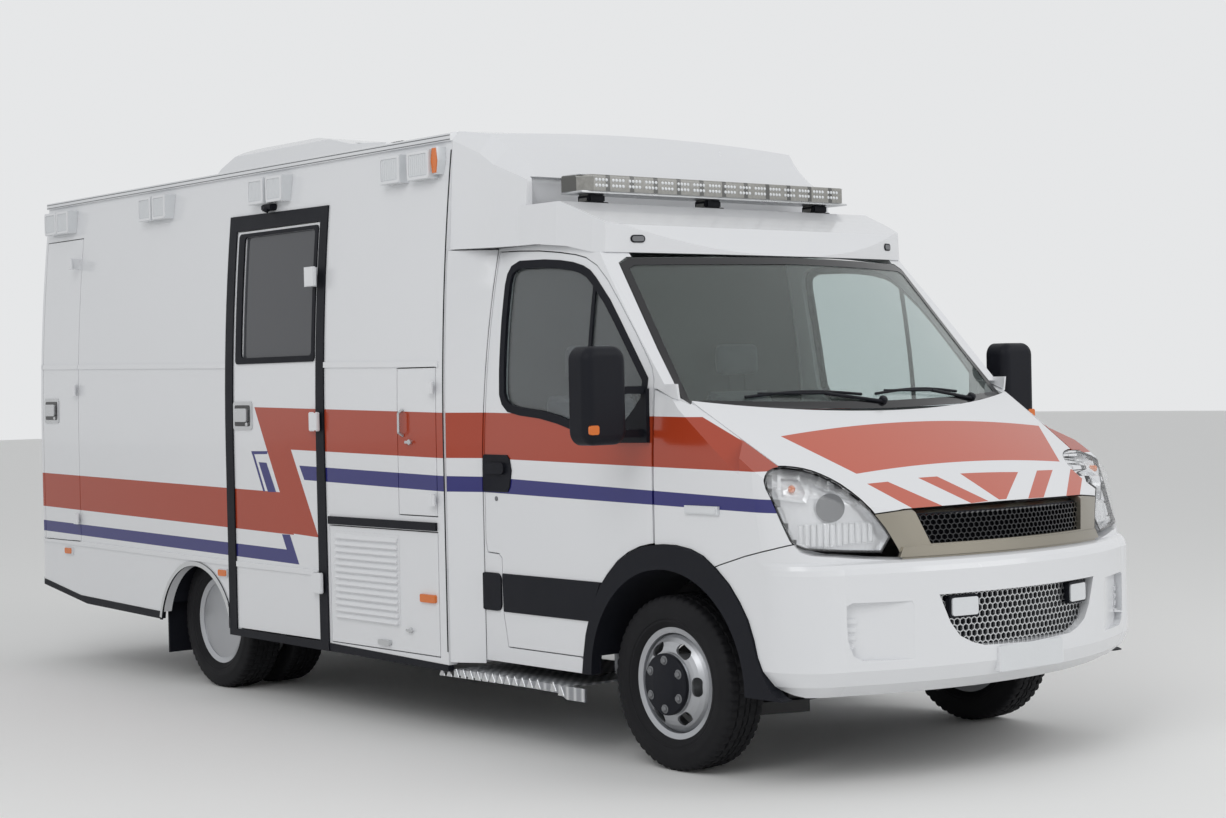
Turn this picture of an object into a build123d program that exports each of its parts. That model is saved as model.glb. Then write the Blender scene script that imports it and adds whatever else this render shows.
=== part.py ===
# Van-based ambulance: ladder-frame cab chassis with twin rear wheels, a hollow cab and a hollow
# box body.  Millimetres, +X forward, +Y left, +Z up, origin on the ground under the box centre.
import os
from math import atan2, cos, hypot, radians, sin, sqrt

from build123d import *

os.makedirs("parts", exist_ok=True)

# ---------------------------------------------------------------- driving dimensions
FRONT_END_X = 3220.0      # foremost point of the bumper
REAR_END_X = -3220.0      # rearmost point of the rear step
FRONT_AXLE_X = 2200.0
WHEELBASE = 3500.0
REAR_AXLE_X = FRONT_AXLE_X - WHEELBASE

TYRE_R = 345.0
TYRE_W = 195.0
RIM_R = 222.0
FRONT_WHEEL_Y = 860.0
REAR_OUTER_Y = 905.0
REAR_INNER_Y = 640.0

CAB_HALF_W = 998.0
CAB_REAR_X = 1020.0
CAB_BACK_X = 1045.0       # front face of the cab's back wall
CAB_FLOOR_Z = 655.0
CAB_WALL = 45.0

BOX_HALF_W = 1100.0
BOX_FRONT_X = 905.0
BOX_REAR_X = -3120.0
BOX_SKIRT_Z = 290.0
BOX_CURVE_Z = 1250.0      # the side wall is upright below this height
BOX_CURVE_R = 11100.0     # and leans in on this radius above it
BOX_TOP_Z = 2600.0
BOX_WALL = 45.0
GAP = 5.0                 # shut gap round doors and lids

SIDES = {"left": 1, "right": -1}


def save(builder, name):
    builder.part.label = name
    export_step(builder.part, f"parts/{name}.step")


def box_y(z, inset=0.0):
    """Half width of the box body's outer skin at height z, moved in by inset."""
    if z <= BOX_CURVE_Z:
        return BOX_HALF_W - inset
    return BOX_HALF_W - BOX_CURVE_R + sqrt(BOX_CURVE_R**2 - (z - BOX_CURVE_Z) ** 2) - inset


def box_section(z_low, z_high, inset):
    """Closed outline of the box body across the vehicle, as a face with y across and z up."""
    with BuildSketch() as section:
        with BuildLine():
            low_left = (box_y(z_low, inset), z_low)
            curve_left = (box_y(BOX_CURVE_Z, inset), BOX_CURVE_Z)
            mid_z = (BOX_CURVE_Z + z_high) / 2
            Polyline((-low_left[0], z_low), low_left, curve_left)
            ThreePointArc(curve_left, (box_y(mid_z, inset), mid_z), (box_y(z_high, inset), z_high))
            Line((box_y(z_high, inset), z_high), (-box_y(z_high, inset), z_high))
            ThreePointArc((-box_y(z_high, inset), z_high), (-box_y(mid_z, inset), mid_z),
                          (-curve_left[0], BOX_CURVE_Z))
            Line((-curve_left[0], BOX_CURVE_Z), (-low_left[0], z_low))
        make_face()
    return section.sketch


# ---------------------------------------------------------------- running gear
RIM_SLOTS = 6
RIM_SLOT_LONG = 76.0
RIM_SLOT_WIDE = 40.0
RIM_SLOT_CIRCLE_R = 150.0
FRONT_CAP_R = 120.0


def tyre(y_centres, x, name):
    with BuildPart() as tyre_part:
        for y in y_centres:
            with BuildSketch(Plane.XY.offset(TYRE_R)) as sec:
                with BuildLine():
                    FilletPolyline(
                        (x + RIM_R, y - TYRE_W * 0.40),
                        (x + TYRE_R * 0.80, y - TYRE_W * 0.50),
                        (x + TYRE_R - 18, y - TYRE_W * 0.47),
                        (x + TYRE_R, y - TYRE_W * 0.36),
                        (x + TYRE_R, y + TYRE_W * 0.36),
                        (x + TYRE_R - 18, y + TYRE_W * 0.47),
                        (x + TYRE_R * 0.80, y + TYRE_W * 0.50),
                        (x + RIM_R, y + TYRE_W * 0.40),
                        radius=8, close=True)
                make_face()
            revolve(axis=Axis((x, 0, TYRE_R), (0, 1, 0)))
    save(tyre_part, name)


def rim_front(side_name, side):
    """Domed steel disc with oval slots in a well, with the dark centre cap as a boss."""
    x = FRONT_AXLE_X
    y = FRONT_WHEEL_Y * side
    with BuildPart() as rim:
        with BuildSketch(Plane.XY.offset(TYRE_R)):
            with BuildLine():
                pts = [(110, 92), (126, 92), (142, 86), (158, 77), (173, 63), (182, 50), (188, 34), (196, 18),
                       (196, 10), (205, 10), (205, 60), (RIM_R - 1, 68), (RIM_R - 1, 74), (198, 68),
                       (196, 46), (190, 58), (180, 71), (164, 85), (146, 95), (128, 100), (110, 100)]
                Polyline(*[(x + r, y + side * o) for r, o in pts], close=True)
            make_face()
        revolve(axis=Axis((x, 0, TYRE_R), (0, 1, 0)))
        with BuildSketch(Plane.XY.offset(TYRE_R)):
            with BuildLine():
                pts = [(196, 14), (206, 14), (206, -62), (RIM_R - 1, -66), (RIM_R - 1, -74), (196, -68)]
                Polyline(*[(x + r, y + side * o) for r, o in pts], close=True)
            make_face()
        revolve(axis=Axis((x, 0, TYRE_R), (0, 1, 0)))
        with BuildSketch(Plane.XZ.offset(-(y + side * 40))):
            with Locations((x, TYRE_R)):
                with PolarLocations(RIM_SLOT_CIRCLE_R, RIM_SLOTS):
                    SlotOverall(RIM_SLOT_LONG, RIM_SLOT_WIDE, rotation=90)
        extrude(amount=-side * 70, mode=Mode.SUBTRACT)
        with BuildSketch(Plane.XZ.offset(-(y + side * 20))):
            with Locations((x, TYRE_R)):
                Circle(FRONT_CAP_R)
        extrude(amount=-side * 100)
    save(rim, f"front_rim_{side_name}")


def rim_rear(side_name, side):
    """Pair of deep-dished steel rims back to back on one hub."""
    x = REAR_AXLE_X
    with BuildPart() as rim:
        for centre, facing in ((REAR_OUTER_Y, -1), (REAR_INNER_Y, 1)):
            with BuildSketch(Plane.XY.offset(TYRE_R)):
                with BuildLine():
                    pts = [(60, 128), (160, 118), (194, 90), (194, -64), (RIM_R - 1, -74),
                           (RIM_R - 1, -66), (204, -56), (204, 62), (RIM_R - 1, 68), (RIM_R - 1, 76),
                           (202, 96), (166, 128), (60, 138)]
                    Polyline(*[(x + r, side * (centre + facing * o)) for r, o in pts], close=True)
                make_face()
            revolve(axis=Axis((x, 0, TYRE_R), (0, 1, 0)))
        with BuildSketch(Plane.XZ.offset(-side * (REAR_OUTER_Y - 140))):
            with Locations((x, TYRE_R)):
                Circle(95)
        extrude(amount=-side * 150)
    save(rim, f"rear_rim_{side_name}")


for side_name, side in SIDES.items():
    tyre([FRONT_WHEEL_Y * side], FRONT_AXLE_X, f"front_tyre_{side_name}")
    tyre([REAR_OUTER_Y * side, REAR_INNER_Y * side], REAR_AXLE_X, f"rear_tyres_{side_name}")
    rim_front(side_name, side)
    rim_rear(side_name, side)

# Front knuckles: kingpin post, stub axle and brake disc inside the rim's well.
KINGPIN_Y = 740.0
KNUCKLE_LOW_Z = 250.0
KNUCKLE_HIGH_Z = 470.0
WHEEL_PCD = 170.0
WHEEL_STUDS = 6
STUD_HOLE_R = 9.5
for side_name, side in SIDES.items():
    with BuildPart() as knuckle:
        with BuildSketch(Plane.XY.offset(KNUCKLE_LOW_Z)):
            with Locations((FRONT_AXLE_X, KINGPIN_Y * side)):
                Circle(32)
        extrude(amount=KNUCKLE_HIGH_Z - KNUCKLE_LOW_Z)
        with BuildSketch(Plane.XZ.offset(-side * KINGPIN_Y)):
            with Locations((FRONT_AXLE_X, TYRE_R)):
                Circle(55)
        extrude(amount=-side * (FRONT_WHEEL_Y - KINGPIN_Y + 10))
        with BuildSketch(Plane.XZ.offset(-side * (FRONT_WHEEL_Y - 62))):
            with Locations((FRONT_AXLE_X, TYRE_R)):
                Circle(150)
                with PolarLocations(WHEEL_PCD / 2, WHEEL_STUDS):
                    Circle(STUD_HOLE_R, mode=Mode.SUBTRACT)
        extrude(amount=-side * 28)
        with BuildSketch(Plane.XY.offset(TYRE_R - 60)):
            with Locations((FRONT_AXLE_X - 75, side * (KINGPIN_Y + 12))):
                Rectangle(150, 34)
        extrude(amount=24)
    save(knuckle, f"knuckle_{side_name}")

# Front suspension: cross beam under the engine with upper and lower arms to each kingpin.
with BuildPart() as front_axle:
    with BuildSketch(Plane.XY.offset(215)):
        with Locations((FRONT_AXLE_X, 0)):
            Rectangle(170, 900)
    extrude(amount=90)
    for side in SIDES.values():
        for low, thick, back in ((190, 50, 190), (485, 36, 130)):
            with BuildSketch(Plane.XY.offset(low)):
                with BuildLine():
                    Polyline((FRONT_AXLE_X - back, side * 380), (FRONT_AXLE_X + back, side * 380),
                             (FRONT_AXLE_X + 45, side * 768), (FRONT_AXLE_X - 45, side * 768), close=True)
                make_face()
            extrude(amount=thick)
        with BuildSketch(Plane.XY.offset(190)):
            with Locations((FRONT_AXLE_X, side * 405)):
                Rectangle(250, 60)
        extrude(amount=331)
save(front_axle, "front_axle")

# Rear axle: tapered beam, round differential casing and leaf springs.
LEAF_Y = 430.0
with BuildPart() as rear_axle:
    with BuildSketch(Plane.XZ.offset(-(REAR_OUTER_Y - 145))):
        with Locations((REAR_AXLE_X, TYRE_R)):
            Circle(52)
    extrude(amount=2 * (REAR_OUTER_Y - 145))
    with Locations((REAR_AXLE_X, 0, TYRE_R)):
        Sphere(165)
    for side in SIDES.values():
        with BuildSketch(Plane.XZ.offset(-side * LEAF_Y - 38)):
            with BuildLine():
                Polyline((REAR_AXLE_X - 640, 490), (REAR_AXLE_X - 300, 425), (REAR_AXLE_X - 90, 392),
                         (REAR_AXLE_X + 90, 392), (REAR_AXLE_X + 300, 425), (REAR_AXLE_X + 640, 490),
                         (REAR_AXLE_X + 640, 520), (REAR_AXLE_X + 90, 455), (REAR_AXLE_X - 90, 455),
                         (REAR_AXLE_X - 640, 520), close=True)
            make_face()
        extrude(amount=76)
save(rear_axle, "rear_axle")

# Ladder frame: two rails with cross members, kicked up over the rear axle by its own depth.
RAIL_Y = 400.0
RAIL_LOW_Z = 530.0
RAIL_HIGH_Z = 650.0
with BuildPart() as frame_rails:
    for side in SIDES.values():
        with BuildSketch(Plane.XY.offset(RAIL_LOW_Z)):
            with Locations(((BOX_REAR_X + 60 + 2950) / 2, side * RAIL_Y)):
                Rectangle(2950 - BOX_REAR_X - 60, 70)
        extrude(amount=RAIL_HIGH_Z - RAIL_LOW_Z)
    for x in (-2950, -2100, -700, 200, 1000):
        with BuildSketch(Plane.XY.offset(RAIL_LOW_Z + 15)):
            with Locations((x, 0)):
                Rectangle(90, 2 * RAIL_Y)
        extrude(amount=90)
    with BuildSketch(Plane.XY.offset(521)):
        with Locations((FRONT_AXLE_X, RAIL_Y), (FRONT_AXLE_X, -RAIL_Y)):
            Rectangle(250, 66)
    extrude(amount=20)
    with BuildSketch(Plane.XY.offset(521)):
        with Locations(*[(REAR_AXLE_X + dx, side * 415) for dx in (-600, 600) for side in (1, -1)]):
            Rectangle(60, 90)
    extrude(amount=20)
save(frame_rails, "chassis_frame")

# ---------------------------------------------------------------- shared solid helpers
def prism_xz(points, y_low, y_high):
    """Block with an outline seen from the side, between two planes across the vehicle."""
    with BuildPart() as solid:
        with BuildSketch(Plane.XZ.offset(-y_low)):
            with BuildLine():
                Polyline(*points, close=True)
            make_face()
        extrude(amount=-(y_high - y_low))
    return solid.part


def prism_xy(points, z_low, z_high):
    """Block with an outline seen from above, between two heights."""
    with BuildPart() as solid:
        with BuildSketch(Plane.XY.offset(z_low)):
            with BuildLine():
                Polyline(*points, close=True)
            make_face()
        extrude(amount=z_high - z_low)
    return solid.part


def prism_yz(points, x_low, x_high):
    """Block with an outline seen from the front, between two stations along the vehicle."""
    with BuildPart() as solid:
        with BuildSketch(Plane.YZ.offset(x_low)):
            with BuildLine():
                Polyline(*points, close=True)
            make_face()
        extrude(amount=x_high - x_low)
    return solid.part


def block(x_range, y_range, z_range):
    with BuildPart() as solid:
        with BuildSketch(Plane.XY.offset(z_range[0])):
            with Locations(((x_range[0] + x_range[1]) / 2, (y_range[0] + y_range[1]) / 2)):
                Rectangle(x_range[1] - x_range[0], y_range[1] - y_range[0])
        extrude(amount=z_range[1] - z_range[0])
    return solid.part


def drum(x, z, radius, y_low, y_high):
    """Cylinder across the vehicle."""
    with BuildPart() as solid:
        with BuildSketch(Plane.XZ.offset(-y_low)):
            with Locations((x, z)):
                Circle(radius)
        extrude(amount=-(y_high - y_low))
    return solid.part


def pin(x, y, z_low, z_high, radius):
    """Upright cylinder."""
    with BuildPart() as solid:
        with BuildSketch(Plane.XY.offset(z_low)):
            with Locations((x, y)):
                Circle(radius)
        extrude(amount=z_high - z_low)
    return solid.part


def cut(tool):
    add(tool, mode=Mode.SUBTRACT)


def keep(tool):
    add(tool, mode=Mode.INTERSECT)


def across(side, near, far):
    """Range across the vehicle from the near to the far distance on one side."""
    return tuple(sorted((side * near, side * far)))


def grown(points, amount):
    """Closed outline moved outwards by an amount, or inwards by a negative one."""
    with BuildSketch() as outline:
        with BuildLine():
            Polyline(*points, close=True)
        make_face()
        if amount:
            offset(amount=amount, kind=Kind.INTERSECTION)
    return outline.sketch


def side_prism(points, amount, side):
    """Side outline grown by an amount, as a block through one side of the vehicle."""
    low, high = across(side, 700, 1200)
    with BuildPart() as solid:
        with BuildSketch(Plane.XZ.offset(-low)):
            add(grown(points, amount))
        extrude(amount=-(high - low))
    return solid.part


# ---------------------------------------------------------------- cab body
CAB_CURVE_Z = 1100.0      # the cab's side is upright below this height
CAB_CURVE_R = 4630.0      # and leans in on this radius above it
CAB_TOP_Z = 2160.0
CAB_LOW_Z = 345.0
SCREEN_BASE = (2500.0, 1403.0)     # windscreen foot on the centre line, x and z
SCREEN_HEAD = (1913.0, 2065.0)     # windscreen head on the centre line
SCREEN_PLAN_R = 2400.0
SCREEN_SKIN = (-6.0, 2.0)          # the glass between these depths under the screen's surface
PILLAR_PROUD = 8.0                 # the pillars stand this far over it
PILLAR_Y = 905.0                   # and run straight outwards from here
SCREEN_RAKE = (SCREEN_HEAD[0] - SCREEN_BASE[0]) / (SCREEN_HEAD[1] - SCREEN_BASE[1])
BONNET_NOSE = (3112.0, 1018.0)     # bonnet's front edge on the centre line
BONNET_CROWN_R = 9500.0
BONNET_SLOPE = atan2(SCREEN_BASE[1] - BONNET_NOSE[1], BONNET_NOSE[0] - SCREEN_BASE[0])
NOSE_PLAN_R = 1850.0
CORNER_R = 300.0
CORNER_X = 2784.0
NOSE_BASE_Z = 852.0       # foot of the grille and lamps
NOSE_STEP = 43.0          # which stand this far behind the bumper
BUMPER_SECTIONS = ((350.0, 85.0, 0.0), (395.0, 25.0, 0.0), (450.0, 0.0, 0.0), (806.0, 0.0, 0.0),
                   (826.0, 0.0, 6.0), (842.0, 0.0, 20.0), (NOSE_BASE_Z, 0.0, NOSE_STEP))   # z, inset, setback
NOSE_RAKE = -0.178        # and lean back by this much for each unit of height
SHOULDER_AZ = 50.0        # plan direction in which the front shoulder is rounded
SHOULDER = ((2600.0, 880.0), (2551.0, 1052.0), (2436.0, 1212.0), (2160.0, 1514.0))
FIREWALL_X = 2235.0
FLOOR_TOP_Z = 690.0
COWL_Z = (1345.0, 1362.0)
ARCH_X = 2225.0
ARCH_Z = 345.0
ARCH_R = 453.0
LINER_T = 8.0
BONNET_T = 25.0
MAX_HALF_W = 1010.0


def cab_y(z, inset=0.0):
    """Half width of the cab's outer skin at height z, moved in by inset."""
    if z <= CAB_CURVE_Z:
        return CAB_HALF_W - inset
    return CAB_HALF_W - CAB_CURVE_R + sqrt(CAB_CURVE_R**2 - (z - CAB_CURVE_Z) ** 2) - inset


def cab_section(z_low, z_high, inset):
    """Closed outline of the cab across the vehicle, as a face with y across and z up."""
    mid_z = (CAB_CURVE_Z + z_high) / 2
    low_y, curve_y = cab_y(z_low, inset), cab_y(CAB_CURVE_Z, inset)
    mid_y, high_y = cab_y(mid_z, inset), cab_y(z_high, inset)
    with BuildSketch() as section:
        with BuildLine():
            Polyline((-low_y, z_low), (low_y, z_low), (curve_y, CAB_CURVE_Z))
            ThreePointArc((curve_y, CAB_CURVE_Z), (mid_y, mid_z), (high_y, z_high))
            Line((high_y, z_high), (-high_y, z_high))
            ThreePointArc((-high_y, z_high), (-mid_y, mid_z), (-curve_y, CAB_CURVE_Z))
            Line((-curve_y, CAB_CURVE_Z), (-low_y, z_low))
        make_face()
    return section.sketch


def section_block(section, x_low, x_high):
    """Section drawn with y across and z up, run along the vehicle."""
    with BuildPart() as solid:
        with BuildSketch(Plane.YZ.offset(x_low)):
            add(section)
        extrude(amount=x_high - x_low)
    return solid.part


def nose_plan(inset, back):
    """Plan of the cab's front: straight sides, rounded corners and a large front arc."""
    half_w = CAB_HALF_W - inset
    corner_r = CORNER_R - inset
    nose_r = NOSE_PLAN_R - inset
    corner_y = CAB_HALF_W - CORNER_R
    corner_x = CORNER_X - back
    nose_x = FRONT_END_X - NOSE_PLAN_R - back
    turn = atan2(corner_y, corner_x - nose_x)
    joint = (nose_x + nose_r * cos(turn), nose_r * sin(turn))
    half_turn = (turn + radians(90)) / 2
    mid = (corner_x + corner_r * cos(half_turn), corner_y + corner_r * sin(half_turn))
    with BuildSketch() as plan:
        with BuildLine():
            Line((CAB_REAR_X, -half_w), (CAB_REAR_X, half_w))
            Line((CAB_REAR_X, half_w), (corner_x, half_w))
            ThreePointArc((corner_x, half_w), mid, joint)
            ThreePointArc(joint, (nose_x + nose_r, 0), (joint[0], -joint[1]))
            ThreePointArc((joint[0], -joint[1]), (mid[0], -mid[1]), (corner_x, -half_w))
            Line((corner_x, -half_w), (CAB_REAR_X, -half_w))
        make_face()
    return plan.sketch


def shoulder(side, inset):
    """Everything outside the rounded front shoulder on one side."""
    along = (cos(radians(SHOULDER_AZ)), side * sin(radians(SHOULDER_AZ)), 0)
    low, mid, high, top = [(d - inset, z) for d, z in SHOULDER]
    with BuildPart() as tool:
        with BuildSketch(Plane(origin=(0, 0, 0), x_dir=along, z_dir=(along[1], -along[0], 0))):
            with BuildLine():
                Line((low[0], 820), low)
                ThreePointArc(low, mid, high)
                Line(high, top)
                Polyline(top, (top[0], 1750), (3400, 1750), (3400, 820), (low[0], 820))
            make_face()
        extrude(amount=1400, both=True)
    return tool.part


def crown_cut(depth):
    """Everything above the bonnet's crown, which runs down its slope, moved in by a depth."""
    half = 1000.0
    drop = BONNET_CROWN_R - sqrt(BONNET_CROWN_R**2 - half**2)
    base = Plane(origin=(SCREEN_BASE[0], 0, SCREEN_BASE[1] - depth / cos(BONNET_SLOPE)),
                 x_dir=(0, 1, 0), z_dir=(cos(BONNET_SLOPE), 0, -sin(BONNET_SLOPE)))
    with BuildPart() as tool:
        with BuildSketch(base.offset(-1700)):
            with BuildLine():
                ThreePointArc((-half, -drop), (0, 0), (half, -drop))
                Polyline((half, -drop), (half, 1400), (-half, 1400), (-half, -drop))
            make_face()
        extrude(amount=3000)
    return tool.part


def nose_upper(inset, depth):
    """Block of bonnet, wings, lamps and grille: a plan outline leaning back under the crown."""
    with BuildPart() as solid:
        with BuildSketch(Plane.XY.offset(NOSE_BASE_Z)):
            add(nose_plan(inset, NOSE_STEP))
        extrude(amount=hypot(NOSE_RAKE, 1) * 650, dir=(NOSE_RAKE, 0, 1))
        cut(crown_cut(depth))
        for side in SIDES.values():
            cut(shoulder(side, inset))
    return solid.part


def nose_lower(inset):
    """Block of the bumper and the lower sides, tucked under at the bottom and stepped at the top."""
    with BuildPart() as solid:
        for low, high in zip(BUMPER_SECTIONS, BUMPER_SECTIONS[1:]):
            for z, tuck, back in (low, high):
                with BuildSketch(Plane.XY.offset(z)):
                    add(nose_plan(tuck + inset, back))
            loft(ruled=True)
    return solid.part


def greenhouse(rear_x, z_low, z_high, inset):
    """Block whose front is the windscreen: a plan arc pushed up along the screen's rake."""
    front_x = SCREEN_BASE[0] + SCREEN_RAKE * (z_low - SCREEN_BASE[1]) - inset * hypot(SCREEN_RAKE, 1)
    edge_x = front_x - SCREEN_PLAN_R + sqrt(SCREEN_PLAN_R**2 - PILLAR_Y**2)
    with BuildPart() as solid:
        with BuildSketch(Plane.XY.offset(z_low)):
            with BuildLine():
                Polyline((edge_x, -PILLAR_Y), (edge_x - 3, -1000), (rear_x - 900, -1000),
                         (rear_x - 900, 1000), (edge_x - 3, 1000), (edge_x, PILLAR_Y))
                ThreePointArc((edge_x, PILLAR_Y), (front_x, 0), (edge_x, -PILLAR_Y))
            make_face()
        extrude(amount=hypot(SCREEN_RAKE, 1) * (z_high - z_low), dir=(SCREEN_RAKE, 0, 1))
        keep(block((rear_x, 3000), (-1000, 1000), (z_low, z_high)))
    return solid.part


def side_walls(z_low, z_high, inset):
    return section_block(cab_section(z_low, z_high, inset), CAB_REAR_X - 10, 3300)


UPPER_BLOCK = nose_upper(0, 0)
LOWER_BLOCK = nose_lower(0)
UPPER_VOID = nose_upper(CAB_WALL, 30)
LOWER_VOID = nose_lower(CAB_WALL)

with BuildPart() as cab_outer:
    add(UPPER_BLOCK)
    add(block((CAB_REAR_X, 2740), (-CAB_HALF_W, CAB_HALF_W), (CAB_LOW_Z, NOSE_BASE_Z)))
    add(greenhouse(CAB_REAR_X, 1200, CAB_TOP_Z, -PILLAR_PROUD))
    keep(side_walls(CAB_LOW_Z - 5, CAB_TOP_Z, 0))

with BuildPart() as cab_void:
    add(UPPER_VOID)
    add(block((CAB_REAR_X - 5, 2740), (-1000, 1000), (CAB_LOW_Z - 5, 900)))
    add(block((CAB_REAR_X - 5, 2200), (-1000, 1000), (890, 1250)))
    add(greenhouse(CAB_REAR_X - 5, 1200, CAB_TOP_Z + 5, CAB_WALL))
    keep(side_walls(CAB_LOW_Z - 10, CAB_TOP_Z + 10, CAB_WALL))

with BuildPart() as cab_shell:
    add(cab_outer.part)
    cut(cab_void.part)

# Side outlines of the cab, x and z.
DOOR_OUTLINE = [
    (1058, 860), (1058, 2107), (1200, 2103), (1342, 2095), (1483, 2080), (1593, 2064), (1663, 2048),
    (1743, 2011), (1826, 1946), (1918, 1854), (2036, 1727), (2121, 1625), (2149, 1585), (2164, 1540),
    (2164, 895), (2150, 894), (2082, 881), (2010, 855), (1942, 817), (1877, 761), (1838, 720),
    (1802, 661), (1758, 571), (1735, 508), (1718, 418), (1717, 412), (1205, 412),
    (1175, 560), (1170, 790), (1150, 808), (1070, 812)]
WINDOW_OUTLINE = [
    (1160, 1490), (1150, 1595), (1138, 1810), (1134, 1961), (1140, 2006), (1160, 2038), (1212, 2057),
    (1387, 2053), (1491, 2044), (1581, 2031), (1651, 2013), (1701, 1992), (1747, 1958), (1853, 1864),
    (1929, 1780), (2003, 1694), (2074, 1609), (2126, 1545), (2110, 1330), (1950, 1296), (1720, 1330),
    (1567, 1369), (1445, 1391), (1306, 1404), (1221, 1419), (1180, 1450)]
FAIRING_FOOT = [(CAB_REAR_X - 200, 2124), (1360, 2122), (1560, 2102), (1700, 2070), (1938, 2056),
                (2700, 2056)]
BUMPER_TOP = [(2440, 800), (2480, 811), (2547, 833), (2686, 872), (2821, 903), (2893, 922), (2912, 896),
              (2935, 884), (2965, 877), (3005, 867), (3055, 857), (3090, 848), (3300, 848)]
FLARE_OUTLINE = [
    (1712, 345), (1722, 417), (1739, 506), (1762, 569), (1806, 658), (1842, 716), (1880, 756), (1945, 812),
    (2012, 850), (2082, 876), (2150, 889), (2225, 895), (2300, 895), (2384, 884), (2455, 861), (2530, 814),
    (2597, 761), (2653, 697), (2697, 632), (2726, 560), (2744, 496), (2775, 437), (2816, 380),
    (2850, 358), (2878, 350)]
# Headlamp outline seen from 45 degrees ahead: distance along (1, 1) on plan, and z.
LAMP_OUTLINE = [
    (1271, 1155), (1275, 1173), (1285, 1188), (1304, 1197), (1326, 1201), (1349, 1200), (1386, 1195),
    (1415, 1189), (1449, 1179), (1479, 1167), (1515, 1150), (1552, 1129), (1589, 1103), (1625, 1074),
    (1660, 1040), (1689, 1004), (1715, 970), (1740, 928), (1761, 890), (1778, 846), (1790, 820),
    (1420, 820), (1400, 893), (1377, 917), (1363, 936), (1346, 972), (1328, 1012), (1310, 1056),
    (1293, 1096), (1278, 1126)]
LAMP_DEPTH = (2300.0, 2900.0)      # reach of the lamp's outline along the 45 degree view
# Front-view outlines, y and z, one half from the centre outwards.
GRILLE_HALF = [(0, 700), (720, 700), (720, 1012), (642, 1021), (528, 1031), (0, 1034)]
GRILLE_OPENING_HALF = [(0, 1060), (506, 1060), (445, 903), (0, 903)]
RECESS_HALF = [(0, 716), (458, 716), (412, 610), (370, 556), (312, 528), (254, 512), (0, 503)]
FOG_POCKET = [(820, 690), (812, 560), (795, 508), (760, 488), (560, 485), (542, 560), (548, 640),
              (572, 700), (795, 703)]
FOG_POCKET_PLAN = [(3150, 530), (2998, 812), (3100, 824), (3250, 700)]
PLATE_SEAT_X = 3219.0
PLATE_SEAT = ((-190.0, 190.0), (408.0, 499.0))
# Plan outlines, x and y.
BONNET_REAR = ((2330.0, 935.0), (2512.0, 0.0))
BONNET_SIDE = [(2384, 930), (2568, 900), (2753, 866), (2775, 858), (3300, 858)]
SCREEN_OUTLINE_HALF = [(0, 1402), (915, 1425), (937, 1440), (845, 2018), (800, 2042), (0, 2052)]


def below(points, amount):
    """Block under a line seen from the side, moved down by an amount."""
    return prism_xz([(points[0][0], 200)] + [(x, z - amount) for x, z in points] + [(points[-1][0], 200)],
                    -1300, 1300)


def above(points, amount):
    """Block over a line seen from the side, moved down by an amount."""
    return prism_xz([(points[0][0], 1000)] + [(x, z - amount) for x, z in points] + [(points[-1][0], 1000)],
                    -1300, 1300)


def full_width(half):
    """Outline given from the centre outwards, completed on the other side."""
    return half + [(-y, z) for y, z in reversed(half) if y]


def front_prism(half, amount):
    """Symmetrical front outline grown by an amount, as a block through the nose."""
    with BuildPart() as solid:
        with BuildSketch(Plane.YZ.offset(2800)):
            add(grown(full_width(half), amount))
        extrude(amount=500)
    return solid.part


def lamp_prism(side, amount):
    """Headlamp outline grown by an amount, run through the nose along its 45 degree view."""
    diagonal = sqrt(0.5)
    plane = Plane(origin=(0, 0, 0), x_dir=(diagonal, -side * diagonal, 0),
                  z_dir=(diagonal, side * diagonal, 0))
    across_sign = 1 if plane.y_dir.Z > 0 else -1
    with BuildPart() as solid:
        with BuildSketch(plane.offset(LAMP_DEPTH[0])):
            with BuildLine():
                Polyline(*[(s, across_sign * z) for s, z in LAMP_OUTLINE], close=True)
            make_face()
            if amount:
                offset(amount=amount, kind=Kind.ARC)
        extrude(amount=LAMP_DEPTH[1] - LAMP_DEPTH[0])
    return solid.part


def flare_prism(side, amount):
    low, high = across(side, 700, 1200)
    with BuildPart() as solid:
        with BuildSketch(Plane.XZ.offset(-low)):
            add(grown(FLARE_OUTLINE + [(2878, 250), (1705, 250)], amount))
        extrude(amount=-(high - low))
    return solid.part


def bonnet_space(amount):
    """Plan of the bonnet grown by an amount, as an upright block."""
    (rear_x, rear_y), (mid_x, mid_y) = BONNET_REAR
    edge = [(rear_x, rear_y)] + BONNET_SIDE
    with BuildPart() as solid:
        with BuildSketch(Plane.XY.offset(800)):
            with BuildLine():
                ThreePointArc((rear_x, -rear_y), (mid_x, mid_y), (rear_x, rear_y))
                Polyline(*edge)
                Line(edge[-1], (edge[-1][0], -edge[-1][1]))
                Polyline(*[(x, -y) for x, y in reversed(edge)])
            make_face()
            offset(amount=amount, kind=Kind.ARC)
        extrude(amount=720)
    return solid.part


def screen_prism(amount):
    outline = SCREEN_OUTLINE_HALF + [(-y, z) for y, z in reversed(SCREEN_OUTLINE_HALF[1:-1])]
    with BuildPart() as solid:
        with BuildSketch(Plane.YZ.offset(1650)):
            add(grown(outline, amount))
        extrude(amount=1000)
    return solid.part


def cab_skin(out_inset, in_inset):
    """Side walls of the cab between two depths under its outer skin."""
    with BuildPart() as skin:
        add(section_block(cab_section(CAB_LOW_Z, CAB_TOP_Z, out_inset), CAB_REAR_X, 2700))
        cut(section_block(cab_section(CAB_LOW_Z - 10, CAB_TOP_Z + 10, in_inset), CAB_REAR_X, 2700))
        if out_inset >= 0:
            keep(cab_outer.part)
        keep(below(FAIRING_FOOT, 0))
    return skin.part


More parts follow.
